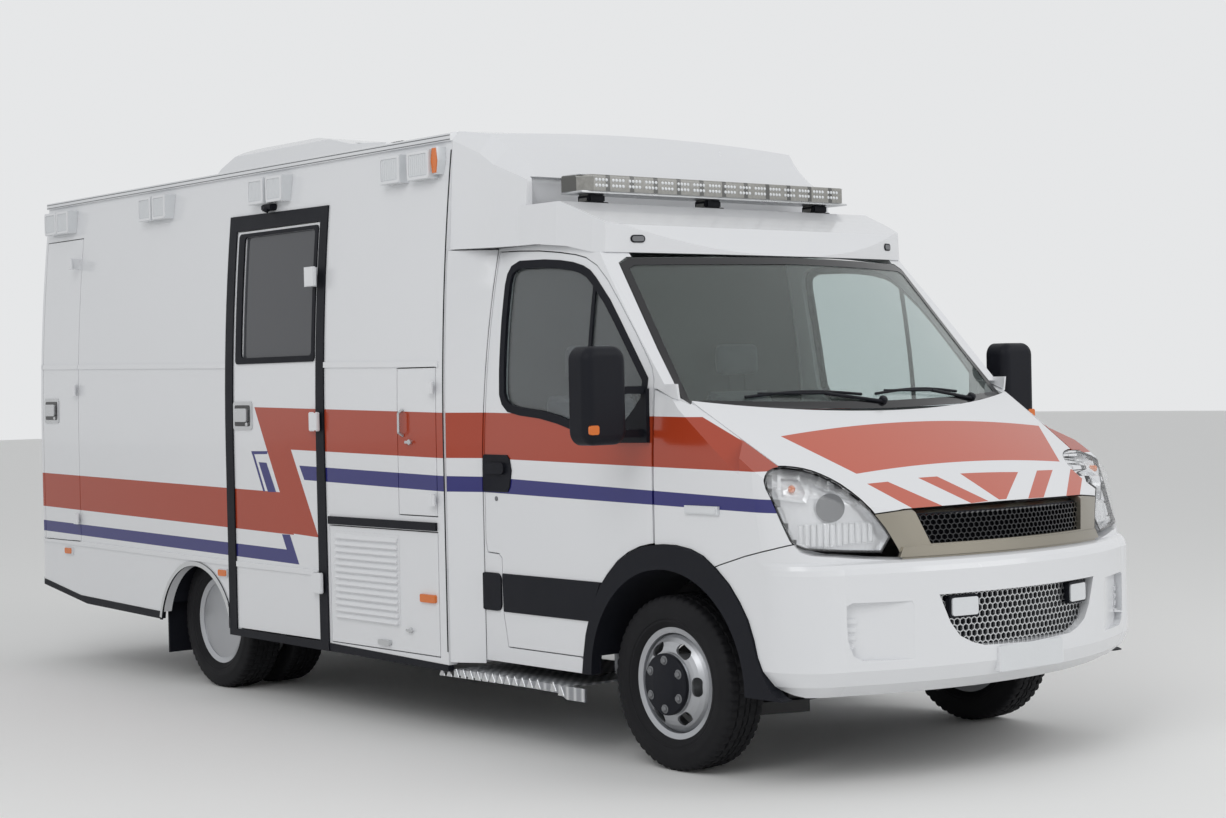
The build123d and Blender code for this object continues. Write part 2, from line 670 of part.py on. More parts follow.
with BuildPart() as windscreen:
    add(greenhouse(1500, 1360, 2080, SCREEN_SKIN[0]))
    cut(greenhouse(1400, 1350, 2090, SCREEN_SKIN[1]))
    keep(screen_prism(0))
    keep(below(FAIRING_FOOT, 4))
save(windscreen, "windscreen")


# Shut line between the wing, below, and the windscreen pillar.
WING_LINE = [(2169, 1505), (2255, 1474), (2340, 1440)]


def side_panel(side):
    """Fixed side of the cab: sill, rear post, rail over the door and windscreen pillar."""
    with BuildPart() as panel:
        add(cab_shell.part)
        keep(block((CAB_BACK_X + 2, 2285), across(side, 780, MAX_HALF_W), (CAB_LOW_Z, CAB_TOP_Z)))
        keep(below(FAIRING_FOOT, 0))
        cut(below(WING_LINE, 0))
        cut(bonnet_space(GAP / 2))
        cut(side_prism(DOOR_OUTLINE, GAP / 2, side))
        cut(screen_prism(3))
        cut(block((1700, 2300), across(side, 780, MAX_HALF_W), (405, 1503)))
        cut(flare_prism(side, 12))
    return panel.part


def wing(side):
    """Front wing: upright side panel and the rounded shoulder up to the bonnet's edge."""
    plan = [(2174, 1010), (2940, 1010), (2940, 940), (2795, 925), (2765, 868), (2753, 868), (2568, 902),
            (2384, 932), (2332, 925), (2174, 925)]
    with BuildPart() as panel:
        add(cab_shell.part)
        keep(prism_xy([(x, side * y) for x, y in plan], CAB_LOW_Z, 1530))
        cut(prism_xz([(2160, 1503), *[(x, z - 2) for x, z in WING_LINE[1:]], (2340, 1600), (2160, 1600)],
                     *across(side, 780, 1100)))
        cut(bonnet_space(GAP / 2))
        cut(screen_prism(3))
        cut(lamp_prism(side, 1.5))
        cut(below(BUMPER_TOP, -GAP / 2))
        cut(flare_prism(side, GAP / 2))
    return panel.part


with BuildPart() as cab_sides:
    for side in SIDES.values():
        add(side_panel(side))
save(cab_sides, "cab_sides")

with BuildPart() as wings:
    for side in SIDES.values():
        add(wing(side))
save(wings, "wings")

for side_name, side in SIDES.items():
    with BuildPart() as door:
        add(cab_skin(0, CAB_WALL))
        keep(side_prism(DOOR_OUTLINE, -GAP / 2, side))
        cut(side_prism(WINDOW_OUTLINE, 0, side))
    save(door, f"cab_door_{side_name}")
    with BuildPart() as glass:
        add(cab_skin(12, 19))
        keep(side_prism(WINDOW_OUTLINE, 0, side))
    save(glass, f"door_glass_{side_name}")

# Floor, back wall, firewall and cowl in one tub.
with BuildPart() as cab_tub:
    add(block((CAB_REAR_X, FIREWALL_X + 30), (-930, 930), (CAB_FLOOR_Z, FLOOR_TOP_Z)))
    add(block((FIREWALL_X, FIREWALL_X + 25), (-900, 900), (CAB_FLOOR_Z, COWL_Z[1])))
    with BuildSketch(Plane.YZ.offset(CAB_REAR_X)):
        add(cab_section(CAB_LOW_Z + 5, 2120, 0))
    extrude(amount=CAB_BACK_X - CAB_REAR_X)
    cut(block((1000, 1100), (-445, 445), (340, RAIL_HIGH_Z + 2)))
    add(block((FIREWALL_X, 2490), (-880, 880), COWL_Z))
    cut(bonnet_space(2 * GAP))
    for side in SIDES.values():
        cut(drum(ARCH_X, ARCH_Z, ARCH_R + LINER_T + 4, *across(side, 500, 1100)))
save(cab_tub, "cab_tub")

with BuildPart() as bonnet:
    add(UPPER_BLOCK)
    keep(side_walls(CAB_LOW_Z - 5, 1600, 0))
    cut(nose_upper(BONNET_T * 0.6, BONNET_T))
    keep(bonnet_space(-GAP / 2))
    cut(front_prism([(0, 700)] + [(720, 700), (720, 1012 + GAP)] + [(642, 1021 + GAP), (528, 1031 + GAP),
                                                                   (0, 1034 + GAP)], 0))
    for side in SIDES.values():
        cut(lamp_prism(side, GAP))
save(bonnet, "bonnet")

with BuildPart() as nose_shell:
    add(UPPER_BLOCK)
    keep(side_walls(CAB_LOW_Z - 5, 1600, 0))
    cut(UPPER_VOID)
    cut(below(BUMPER_TOP, -GAP / 2))


def headlamp(side):
    with BuildPart() as lamp:
        add(nose_shell.part)
        keep(lamp_prism(side, 0))
    return lamp.part


with BuildPart() as headlamps:
    for side in SIDES.values():
        add(headlamp(side))
save(headlamps, "headlamps")

with BuildPart() as grille:
    add(nose_shell.part)
    keep(front_prism(GRILLE_HALF, 0))
    cut(front_prism(GRILLE_OPENING_HALF, 0))
    for side in SIDES.values():
        cut(lamp_prism(side, 1.5))

with BuildPart() as grille_mesh:
    add(nose_upper(38, 38))
    cut(nose_upper(50, 50))
    keep(front_prism([(0, 892), (462, 892), (516, 1022), (0, 1022)], 0))

with BuildPart() as whole_grille:
    add(grille.part)
    add(grille_mesh.part)
save(whole_grille, "grille")

with BuildPart() as fog_pocket:
    add(prism_yz(FOG_POCKET, 2900, 3300))
    keep(prism_xy(FOG_POCKET_PLAN, 400, 800))

with BuildPart() as bumper_mesh:
    add(nose_lower(50))
    cut(nose_lower(58))
    keep(front_prism([(0, 724), (470, 724), (424, 610), (378, 548), (316, 519), (256, 503), (0, 494)], 0))

with BuildPart() as bumper_shelf:
    add(UPPER_BLOCK)
    cut(UPPER_VOID)
    keep(below(BUMPER_TOP, GAP / 2))

with BuildPart() as front_bumper:
    add(LOWER_BLOCK)
    cut(LOWER_VOID)
    cut(above(BUMPER_TOP[:4], GAP / 2))
    add(bumper_shelf.part)
    keep(block((2480, 3300), (-MAX_HALF_W, MAX_HALF_W), (CAB_LOW_Z, 1000)))
    cut(front_prism(RECESS_HALF, 0))
    cut(fog_pocket.part)
    cut(mirror(fog_pocket.part, about=Plane.XZ))
    add(block((3180, PLATE_SEAT_X), *PLATE_SEAT))
    cut(block((PLATE_SEAT_X, 3300), PLATE_SEAT[0], (PLATE_SEAT[1][0], PLATE_SEAT[1][1] + 20)))
    for side in SIDES.values():
        cut(flare_prism(side, GAP / 2))
    add(bumper_mesh.part)
save(front_bumper, "front_bumper")

# ---------------------------------------------------------------- over-cab fairing
# Rear part as sections across: x, foot y, side-top y and z, edge y and z, crown z.
FAIRING_ROWS = [
    (905.5, 1052, 1018, 2600, 985, 2642, 2656),
    (1035, 996, 972, 2535, 900, 2622, 2655),
    (1108, 965, 950, 2479, 860, 2560, 2586),
    (1234, 942, 916, 2425, 840, 2458, 2466),
    (1284, 935, 905, 2402, 850, 2416, 2418)]
CAP_PROFILE = [(1230, 1990), (1230, 2292), (1520, 2292), (1640, 2245), (1790, 2180), (1900, 2085),
               (1940, 2054), (1940, 1990)]
CAP_PLAN_SIDE = [(1200, 939), (1500, 936), (1700, 905), (1764, 885)]
CAP_FRONT_X = 1938.0
CAP_LEAN = 16.0
NICHE = ((1234.0, 1400.0), (-880.0, 880.0), (2292.0, 2417.0))
FAIRING_WALL = 30.0
FAIRING_BASE_Z = 2000.0


def fairing_rear(wall):
    """Rear part of the fairing as a ruled run of sections, moved in by the wall."""
    with BuildPart() as solid:
        for low, high in zip(FAIRING_ROWS, FAIRING_ROWS[1:]):
            for x, foot_y, side_y, side_z, edge_y, edge_z, crown_z in (low, high):
                ring = [(side_y - wall, side_z - wall * 0.4), (foot_y - wall, FAIRING_BASE_Z - wall)]
                with BuildSketch(Plane.YZ.offset(x - wall)):
                    with BuildLine():
                        Line((edge_y - wall * 0.6, edge_z - wall), ring[0])
                        Polyline(*ring, (-ring[1][0], ring[1][1]), (-ring[0][0], ring[0][1]))
                        Line((-ring[0][0], ring[0][1]), (wall * 0.6 - edge_y, edge_z - wall))
                        ThreePointArc((wall * 0.6 - edge_y, edge_z - wall), (0, crown_z - wall),
                                      (edge_y - wall * 0.6, edge_z - wall))
                    make_face()
            loft(ruled=True)
    return solid.part


def fairing_cap(wall):
    """Cap over the cabin: leaning plan outline under the cap's side profile, moved in by the wall."""
    with BuildPart() as solid:
        for z, lean in ((FAIRING_BASE_Z - wall, 0), (2300 - wall, CAP_LEAN)):
            edge = [(x, y - wall - lean) for x, y in CAP_PLAN_SIDE]
            with BuildSketch(Plane.XY.offset(z)):
                with BuildLine():
                    Polyline(*edge)
                    ThreePointArc(edge[-1], (CAP_FRONT_X - wall, 0), (edge[-1][0], -edge[-1][1]))
                    Polyline(*[(x, -y) for x, y in reversed(edge)])
                    Line((edge[0][0], -edge[0][1]), edge[0])
                make_face()
        loft(ruled=True)
        keep(prism_xz([(x - (wall * 0.6 if x > 1600 else 0), z - wall) for x, z in CAP_PROFILE], -1060, 1060))
    return solid.part


with BuildPart() as niche_wall:
    add(fairing_rear(0))
    keep(block((NICHE[0][0] - 25, NICHE[0][0]), (-1000, 1000), (NICHE[2][0] - 25, 2600)))

with BuildPart() as cab_fairing:
    add(fairing_rear(0))
    add(fairing_cap(0))
    cut(fairing_rear(FAIRING_WALL))
    cut(fairing_cap(FAIRING_WALL))
    cut(below(FAIRING_FOOT, 0))
    add(niche_wall.part)
    cut(block(*NICHE))
save(cab_fairing, "cab_fairing")


STRIP_Z = (330, CAB_CURVE_Z, 1270, 1440, 1610, 1780, 1950, 2118)


def corner_strip(side):
    """Upright strip that closes the corner between the cab and the box front."""
    with BuildPart() as strip:
        for low, high in zip(STRIP_Z, STRIP_Z[1:]):
            for z in (low, high):
                with BuildSketch(Plane.XY.offset(z)):
                    skin = cab_y(z)
                    corners = [(BOX_FRONT_X + 1, skin - 60), (BOX_FRONT_X + 1, box_y(z) - 8),
                               (CAB_BACK_X, skin + 5), (CAB_BACK_X, skin + 1.5),
                               (CAB_REAR_X - 2, skin + 1.5), (CAB_REAR_X - 2, skin - 60)]
                    with BuildLine():
                        Polyline(*[(x, side * y) for x, y in corners], close=True)
                    make_face()
            loft(ruled=True)
    return strip.part


with BuildPart() as corner_strips:
    for side in SIDES.values():
        add(corner_strip(side))
save(corner_strips, "corner_strips")

# ---------------------------------------------------------------- box body
WALL_FOOT = [(-3125, 468), (-2660, 399), (-1703, 372), (-881, 353), (-105, 340), (910, 318)]
SKIRT_FOOT = [(-3125, 436), (-2577, 356), (-1703, 333), (-882, 317), (-105, 302), (910, 290)]
DOOR_X = (-903.0, -133.0)          # side door leaf
DOOR_Z = (348.0, 2318.0)
DOOR_GLASS = ((-825.0, -169.0), (1690.0, 2289.0))
FRAME_OUTLINE = [(-979, 2400), (-66, 2392), (-54, 300), (-979, 308)]
FRAME_PROUD = 8.0
UPPER_LOCKER = ((549.0, 843.0), (964.0, 1612.0))
LOWER_LOCKER = ((-33.0, 841.0), (350.0, 890.0))
REAR_LOCKER = ((-3090.0, -2643.0), (705.0, 2400.0))
LOCKER_BAR = ((-33.0, 841.0), (899.0, 935.0))
LOCKER_DEPTHS = {"upper": (UPPER_LOCKER, 760.0, None), "lower": (LOWER_LOCKER, 620.0, 735.0),
                 "rear": (REAR_LOCKER, 770.0, None)}
REAR_ARCH = (-1330.0, 263.0, 372.0)     # opening in the wall: x, z, radius
ARCH_TRIM_R = 392.0
RIB_PROUD = 7.0
RIB_HALF_H = 13.0
UPPER_RIB = [(-3120, 1688), (-2621, 1681), (-64, 1642), (866, 1628)]
LOWER_RIB = [(-3120, 697), (-2623, 690), (-980, 667), (-125, 663)]
BOX_FLOOR = (740.0, 800.0)
WELL_Y = -720.0                    # back of the step well inside the side door
WELL_Z = 440.0                     # and its tread
REAR_OPENING_Y = 660.0
REAR_OPENING_Z = (800.0, 2330.0)
REAR_GLASS = ((110.0, 560.0), (1600.0, 2200.0))


def box_skin(out_inset, in_inset, z_low, z_high, x_low, x_high, side):
    """Stretch of the box's side wall between two depths under its outer skin."""
    base_z = min(z_low, BOX_CURVE_Z - 50)
    top_z = max(z_high, BOX_CURVE_Z + 50)
    with BuildPart() as skin:
        add(section_block(box_section(base_z, top_z, out_inset), x_low, x_high))
        cut(section_block(box_section(base_z - 10, top_z + 10, in_inset), x_low - 5, x_high + 5))
        keep(block((x_low, x_high), across(side, 700, 1200), (z_low, z_high)))
    return skin.part


def above_wall_foot(amount):
    """Block over the box wall's lower edge, seen from the side."""
    line = [(x, z + amount) for x, z in WALL_FOOT]
    return prism_xz(line + [(910, 2700), (-3125, 2700)], -1200, 1200)


def rib(line, x_low, x_high, side):
    """Horizontal bead standing proud of the box side along a sloping line."""
    band = [(x, z + RIB_HALF_H) for x, z in line] + [(x, z - RIB_HALF_H) for x, z in reversed(line)]
    with BuildPart() as bead:
        add(box_skin(-RIB_PROUD, 1, 600, 1800, x_low, x_high, side))
        keep(prism_xz(band, -1200, 1200))
    return bead.part


def side_ribs(side):
    with BuildPart() as beads:
        add(rib(UPPER_RIB, BOX_REAR_X + 10, 866, side))
        add(rib(LOWER_RIB, BOX_REAR_X + 10, -980, side))
        if side < 0:
            cut(prism_xz(FRAME_OUTLINE, -1200, -900))
    return beads.part


def opening_block(x_range, z_range, amount):
    return block((x_range[0] - amount, x_range[1] + amount), (-1200, -800),
                 (z_range[0] - amount, z_range[1] + amount))


def box_side(side):
    with BuildPart() as wall:
        add(box_skin(0, BOX_WALL, BOX_SKIRT_Z, BOX_TOP_Z, BOX_REAR_X, BOX_FRONT_X, side))
        keep(above_wall_foot(0))
        add(side_ribs(side))
        cut(drum(*REAR_ARCH, *across(side, 700, 1200)))
        if side < 0:
            cut(opening_block(DOOR_X, (250, DOOR_Z[1]), GAP))
            for x_range, z_range in (UPPER_LOCKER, LOWER_LOCKER, REAR_LOCKER):
                cut(opening_block(x_range, z_range, GAP))
    return wall.part


for side_name, side in SIDES.items():
    with BuildPart() as wall:
        add(box_side(side))
    save(wall, f"box_side_{side_name}")

HINGE_Y = 1124.0
SIDE_HINGE_X = -98.0
SIDE_HINGE_Z = ((2012.0, 2104.0), (1332.0, 1422.0), (569.0, 667.0))


def door_hinge(x, z_range, reach):
    """Barrel on a door's hinge axis with the plate that carries it to the leaf."""
    mid_z = (z_range[0] + z_range[1]) / 2
    with BuildPart() as hinge:
        add(pin(x, -HINGE_Y, z_range[0], z_range[1], 9))
        add(block(tuple(sorted((x, x - reach))), (-HINGE_Y - 4, -HINGE_Y + 4), z_range))
        add(block(tuple(sorted((x - reach, x - reach * 0.6))), (-HINGE_Y + 4, -box_y(mid_z) + 12), z_range))
    return hinge.part


with BuildPart() as side_door:
    add(box_skin(0, 40, DOOR_Z[0], DOOR_Z[1], DOOR_X[0], DOOR_X[1], -1))
    add(rib(LOWER_RIB + [(-100, 662)], DOOR_X[0], DOOR_X[1], -1))
    cut(block(DOOR_GLASS[0], (-1200, -800), DOOR_GLASS[1]))
    for z_range in SIDE_HINGE_Z:
        add(door_hinge(SIDE_HINGE_X, z_range, 68))
save(side_door, "side_door")

with BuildPart() as side_door_glass:
    add(box_skin(8, 14, *DOOR_GLASS[1], *DOOR_GLASS[0], -1))
save(side_door_glass, "side_door_glass")

LOCKER_HINGES = {
    "locker_door_upper": (UPPER_LOCKER, 852.0, ((1010, 1060), (1500, 1550)), 40),
    "locker_door_rear": (REAR_LOCKER, -2634.0, ((800, 860), (1520, 1580), (2230, 2290)), 40)}
for name, ((x_range, z_range), hinge_x, hinge_zs, reach) in LOCKER_HINGES.items():
    with BuildPart() as locker_door:
        add(box_skin(0, 30, *z_range, *x_range, -1))
        if name.endswith("rear"):
            add(rib([(-3100, 697), (-2600, 690)], *x_range, -1))
            add(rib(UPPER_RIB, *x_range, -1))
            keep(block(x_range, (-1200, -900), z_range))
        for hinge_z in hinge_zs:
            add(door_hinge(hinge_x, hinge_z, reach))
    save(locker_door, name)

with BuildPart() as locker_door_lower:
    add(box_skin(0, 30, *LOWER_LOCKER[1], *LOWER_LOCKER[0], -1))
save(locker_door_lower, "locker_door_lower")

with BuildPart() as locker_boxes:
    for (x_range, z_range), deep_y, top_z in LOCKER_DEPTHS.values():
        top_z = top_z or z_range[1] + 2
        low_z = max(z_range[0] - 2, 805 if top_z > 900 else 0)
        x_low, x_high = max(x_range[0] - 2, BOX_REAR_X + 50), x_range[1] + 2
        add(block((x_low, x_high), (-1050, -deep_y), (low_z, top_z)))
        cut(block((x_low + 8, x_high - 8), (-1060, -deep_y - 8), (low_z + 8, top_z - 8)))
    keep(section_block(box_section(300, BOX_TOP_Z, BOX_WALL + 5), BOX_REAR_X, BOX_FRONT_X))
save(locker_boxes, "locker_boxes")


def skirt(side):
    """Dark profile under the box wall."""
    line = SKIRT_FOOT + [(x, z - 1) for x, z in reversed(WALL_FOOT)]
    with BuildPart() as profile:
        add(box_skin(-4, 26, 280, 480, BOX_REAR_X, BOX_FRONT_X, side))
        keep(prism_xz(line, -1200, 1200))
        cut(drum(REAR_ARCH[0], REAR_ARCH[1], ARCH_TRIM_R + 2, *across(side, 700, 1200)))
        if side < 0:
            cut(block((FRAME_OUTLINE[0][0] - 1, FRAME_OUTLINE[1][0] + 13), (-1200, -1000), (200, 480)))
    return profile.part


with BuildPart() as door_frame:
    add(box_skin(-FRAME_PROUD, 0, 300, 2400, -979, -54, -1))
    keep(prism_xz(FRAME_OUTLINE, -1200, -900))
    cut(block((DOOR_X[0] - GAP, DOOR_X[1] + GAP), (-1200, -900), (342, DOOR_Z[1] + GAP)))

with BuildPart() as body_trim:
    add(door_frame.part)
    for side in SIDES.values():
        add(skirt(side))
    add(box_skin(-12, 0, *LOCKER_BAR[1], *LOCKER_BAR[0], -1))
save(body_trim, "body_trim")

with BuildPart() as box_floor:
    add(block((BOX_REAR_X + 50, BOX_FRONT_X - 50), (-1050, 1050), BOX_FLOOR))
    cut(block(DOOR_X, (-1100, WELL_Y), (600, 900)))
    add(block(DOOR_X, (-1050, WELL_Y + 20), (WELL_Z - 40, WELL_Z)))
    add(block(DOOR_X, (WELL_Y, WELL_Y + 20), (WELL_Z - 40, BOX_FLOOR[1])))
    for x_low in (DOOR_X[0], DOOR_X[1] - 16):
        add(block((x_low, x_low + 16), (-1050, WELL_Y), (WELL_Z - 40, BOX_FLOOR[1])))
    for side in SIDES.values():
        add(block((-3050, 850), across(side, RAIL_Y - 35, RAIL_Y + 35),
                  (RAIL_HIGH_Z + 0.5, BOX_FLOOR[0] + 5)))
save(box_floor, "box_floor")

with BuildPart() as box_front:
    add(section_block(box_section(330, BOX_TOP_Z, BOX_WALL), BOX_FRONT_X - 45, BOX_FRONT_X))
    cut(block((800, 950), (-460, 460), (300, 735)))
save(box_front, "box_front")

ROOF_RAIL = (14.0, 32.0)           # overhang and height of the roof's edge rail
ROOF_CROWN_Z = BOX_TOP_Z + 62
with BuildPart() as box_roof:
    with BuildSketch(Plane.YZ.offset(BOX_REAR_X)):
        with BuildLine():
            top_y = box_y(BOX_TOP_Z)
            rail_y, rail_z = top_y + ROOF_RAIL[0], BOX_TOP_Z + ROOF_RAIL[1]
            Polyline((-rail_y, BOX_TOP_Z), (rail_y, BOX_TOP_Z), (rail_y, rail_z), (top_y - 20, rail_z + 8))
            ThreePointArc((top_y - 20, rail_z + 8), (0, ROOF_CROWN_Z), (20 - top_y, rail_z + 8))
            Polyline((20 - top_y, rail_z + 8), (-rail_y, rail_z), (-rail_y, BOX_TOP_Z))
        make_face()
    extrude(amount=BOX_FRONT_X - BOX_REAR_X)
    cut(block((BOX_REAR_X + 50, BOX_FRONT_X - 50), (-960, 960), (BOX_TOP_Z - 10, BOX_TOP_Z + 15)))
save(box_roof, "box_roof")

with BuildPart() as box_rear_frame:
    add(section_block(box_section(470, BOX_TOP_Z, BOX_WALL), BOX_REAR_X, BOX_REAR_X + 45))
    cut(block((-3200, -3000), (-REAR_OPENING_Y, REAR_OPENING_Y), REAR_OPENING_Z))
    cut(block((-3200, -3000), (-450, 450), (400, 735)))
save(box_rear_frame, "box_rear_frame")

REAR_HINGE = (-3136.0, 664.0)
for side_name, side in SIDES.items():
    with BuildPart() as rear_door:
        add(block((BOX_REAR_X, BOX_REAR_X + 40), across(side, 3, REAR_OPENING_Y - GAP),
                  (REAR_OPENING_Z[0] + GAP, REAR_OPENING_Z[1] - GAP)))
        cut(block((-3200, -3000), across(side, *REAR_GLASS[0]), REAR_GLASS[1]))
        for mid_z in (900, 1500, 2230):
            add(pin(REAR_HINGE[0], side * REAR_HINGE[1], mid_z - 35, mid_z + 35, 8))
            add(block((-3140, -3132), across(side, 610, REAR_HINGE[1]), (mid_z - 35, mid_z + 35)))
            add(block((-3134, -3110), across(side, 610, 645), (mid_z - 35, mid_z + 35)))
    save(rear_door, f"rear_door_{side_name}")
    with BuildPart() as rear_glass:
        add(block((BOX_REAR_X + 15, BOX_REAR_X + 21), across(side, *REAR_GLASS[0]), REAR_GLASS[1]))
    save(rear_glass, f"rear_glass_{side_name}")

AIR_PROFILE = [(-2090, 2630), (-2090, 2664), (-2062, 2767), (-1951, 2852), (-1820, 2862), (-1690, 2875),
               (-1583, 2878), (-1295, 2868), (-1194, 2860), (-1037, 2836), (-733, 2777), (-677, 2774),
               (-396, 2751), (-380, 2664), (-380, 2630)]
AIR_HALF_W = 500.0
with BuildPart() as air_unit:
    add(prism_xz(AIR_PROFILE, -AIR_HALF_W, AIR_HALF_W))
    keep(prism_yz([(-500, 2600), (500, 2600), (500, 2740), (440, 2830), (380, 2862), (0, 2880),
                   (-380, 2862), (-440, 2830), (-500, 2740)], -2100, -370))
    for x_low, x_high in ((-1115, -733), (-677, -396)):
        cut(block((x_low, x_high), (-380, 380), (2762, 2800)))
    cut(block((-2200, 0), (-600, 600), (2500, ROOF_CROWN_Z)))
save(air_unit, "air_unit")

# ---------------------------------------------------------------- wheel arches and steps
FLARE_Y = (955.0, 1008.0)


def front_arch(side):
    with BuildPart() as flare:
        add(flare_prism(side, 0))
        cut(drum(ARCH_X, ARCH_Z, ARCH_R, *across(side, 600, 1300)))
        keep(block((1700, 2890), across(side, *FLARE_Y), (CAB_LOW_Z, 1000)))
    return flare.part


def arch_trim(side):
    """Bright ring round the rear wheel opening."""
    low, high = across(side, BOX_HALF_W + 0.5, BOX_HALF_W + 9)
    with BuildPart() as ring:
        add(drum(REAR_ARCH[0], REAR_ARCH[1], ARCH_TRIM_R, low, high))
        cut(drum(*REAR_ARCH, low - 10, high + 10))
        keep(block((-1800, FRAME_OUTLINE[0][0] - 2), (-1200, 1200), (330, 700)))
    return ring.part


def liner(x, z, radius, y_range, side, z_low):
    with BuildPart() as shell:
        add(drum(x, z, radius + LINER_T, *across(side, *y_range)))
        cut(drum(x, z, radius, *across(side, 400, 1300)))
        keep(block((x - 600, x + 600), (-1300, 1300), (z_low, z + 700)))
    return shell.part


with BuildPart() as arches:
    for side in SIDES.values():
        add(front_arch(side))
        add(liner(ARCH_X, ARCH_Z, ARCH_R, (640, FLARE_Y[0] + 1), side, 420))
        add(liner(REAR_AXLE_X, TYRE_R, 368, (530, 1053), side, 420))
        add(block((-1736, -1724), across(side, 620, 1050), (150, 440)))
        add(block((-1736, -1664), across(side, 620, 1050), (428, 440)))
        add(arch_trim(side))
save(arches, "arches")

STEP_X = (912.0, 1816.0)
STEP_LIP = [(912, 300), (1816, 300), (1816, 246), (1700, 246), (1640, 268), (912, 276)]
with BuildPart() as steps:
    for side in SIDES.values():
        add(block((STEP_X[0], 1700), across(side, RAIL_Y + 36, 1080), (292, 300)))
        add(prism_xz(STEP_LIP, *across(side, 1072, 1080)))
        for x in (1100, 1550):
            add(block((x, x + 40), across(side, RAIL_Y + 36, 700), (294, 560)))
    add(block((REAR_END_X, BOX_REAR_X), (-1060, 1060), (425, 468)))
    for side in SIDES.values():
        add(block((-3180, -2980), across(side, 380, 440), (425, RAIL_LOW_Z - 0.5)))
save(steps, "steps")

# ---------------------------------------------------------------- lamps, mirrors, cab fittings
BAR_PLAN = [(1372, 792), (1400, 812), (1470, 792), (1536, 746)]
BAR_Z = (2342.0, 2412.0)
with BuildPart() as light_bar:
    with BuildSketch(Plane.XY.offset(BAR_Z[0])):
        with BuildLine():
            Polyline(*BAR_PLAN, *[(x, -y) for x, y in reversed(BAR_PLAN)], close=True)
        make_face()
    extrude(amount=BAR_Z[1] - BAR_Z[0])
    fillet(light_bar.faces().sort_by(Axis.Z)[-1].edges(), 10)
    for y in (-672, 0, 672):
        add(prism_yz([(y - 34, BAR_Z[0] + 1), (y + 34, BAR_Z[0] + 1), (y + 55, 2292.5), (y - 55, 2292.5)],
                     1400, 1450))
save(light_bar, "light_bar")

SCENE_LAMPS = ((428, 590), (648, 818), (-743, -593), (-569, -419), (-1893, -1750), (-1736, -1593),
               (-3039, -2890), (-2887, -2738))       # x ranges along the side
SCENE_LAMP_Z = (2441.0, 2567.0)
SCENE_LAMP_Y = 1085.0
SIDE_MARKERS = ((-2830, -2738, 644), (-1080, -992, 614))   # x range and height
CORNER_MARKER = [(826, 2456), (856, 2456), (866, 2516), (856, 2576), (826, 2576), (816, 2516)]


def side_lamps(side):
    """Scene lights, markers, repeater and tail lamp of one side."""
    with BuildPart() as lamps:
        for x_range in SCENE_LAMPS:
            add(block(x_range, across(side, 1000, SCENE_LAMP_Y), SCENE_LAMP_Z))
        add(prism_xz(CORNER_MARKER, *across(side, 1000, SCENE_LAMP_Y - 13)))
        cut(section_block(box_section(1200, BOX_TOP_Z, -0.5), BOX_REAR_X - 10, BOX_FRONT_X + 10))
        for x_low, x_high, z in SIDE_MARKERS:
            add(block((x_low, x_high), across(side, BOX_HALF_W + 0.5, BOX_HALF_W + 12), (z - 20, z + 20)))
        add(block((BOX_REAR_X - 25, BOX_REAR_X - 0.5), across(side, 760, 900), (900, 1250)))
        add(block((2363, 2551), across(side, CAB_HALF_W + 0.5, CAB_HALF_W + 12), (1022, 1054)))
    return lamps.part


with BuildPart() as body_lamps:
    for side in SIDES.values():
        add(side_lamps(side))
save(body_lamps, "body_lamps")

MIRROR_X = (2065.0, 2180.0)
MIRROR_YZ = (1225.0, 1481.0)
MIRROR_SIZE = (210.0, 382.0)
MIRROR_BASE = [(2138, 1505), (2152, 1330), (2152, 1292), (1950, 1290)]
MIRROR_ARMS = (1500.0, 1330.0)
for side_name, side in SIDES.items():
    with BuildPart() as mirror_shell:
        with BuildSketch(Plane.YZ.offset(MIRROR_X[0])):
            with Locations((side * MIRROR_YZ[0], MIRROR_YZ[1])):
                RectangleRounded(*MIRROR_SIZE, 55)
        extrude(amount=MIRROR_X[1] - MIRROR_X[0])
        fillet(mirror_shell.faces().sort_by(Axis.X)[-1].edges(), 40)
        fillet(mirror_shell.faces().sort_by(Axis.X)[0].edges(), 8)
    with BuildPart() as door_mirror:
        add(cab_skin(-18, -0.5))
        keep(prism_xz(MIRROR_BASE, *across(side, 900, 1100)))
        add(mirror_shell.part)
        for z in MIRROR_ARMS:
            add(block((2090, 2130), across(side, cab_y(z) + 4, 1135), (z - 15, z + 15)))
    save(door_mirror, f"mirror_{side_name}")

# ---------------------------------------------------------------- cabin fittings
DASH_PROFILE = [(1900, 1000), (2234, 950), (2234, 1365), (2150, 1400), (1950, 1330)]
DASH_HALF_W = 850.0
with BuildPart() as dashboard:
    add(prism_xz(DASH_PROFILE, -DASH_HALF_W, DASH_HALF_W))
    fillet(dashboard.edges().filter_by(Axis.Y).sort_by(Axis.Z)[-2:], 30)
save(dashboard, "dashboard")

STEERING_AT = (1780.0, 420.0, 1230.0)
STEERING_TILT = (-0.75, 0.0, 0.66)
STEERING_R = 200.0
with BuildPart() as steering_wheel:
    wheel_plane = Plane(origin=STEERING_AT, x_dir=(0, 1, 0), z_dir=STEERING_TILT)
    with Locations(wheel_plane.location):
        Torus(STEERING_R, 15)
    with BuildSketch(wheel_plane.offset(-25)):
        Circle(62)
        Rectangle(2 * STEERING_R, 34)
        with Locations((0, -STEERING_R / 2)):
            Rectangle(34, STEERING_R)
        with Locations((0, STEERING_R / 2)):
            Rectangle(34, STEERING_R)
    extrude(amount=18)
    with BuildSketch(wheel_plane.offset(-25)):
        Circle(34)
    extrude(amount=-125)
save(steering_wheel, "steering_wheel")

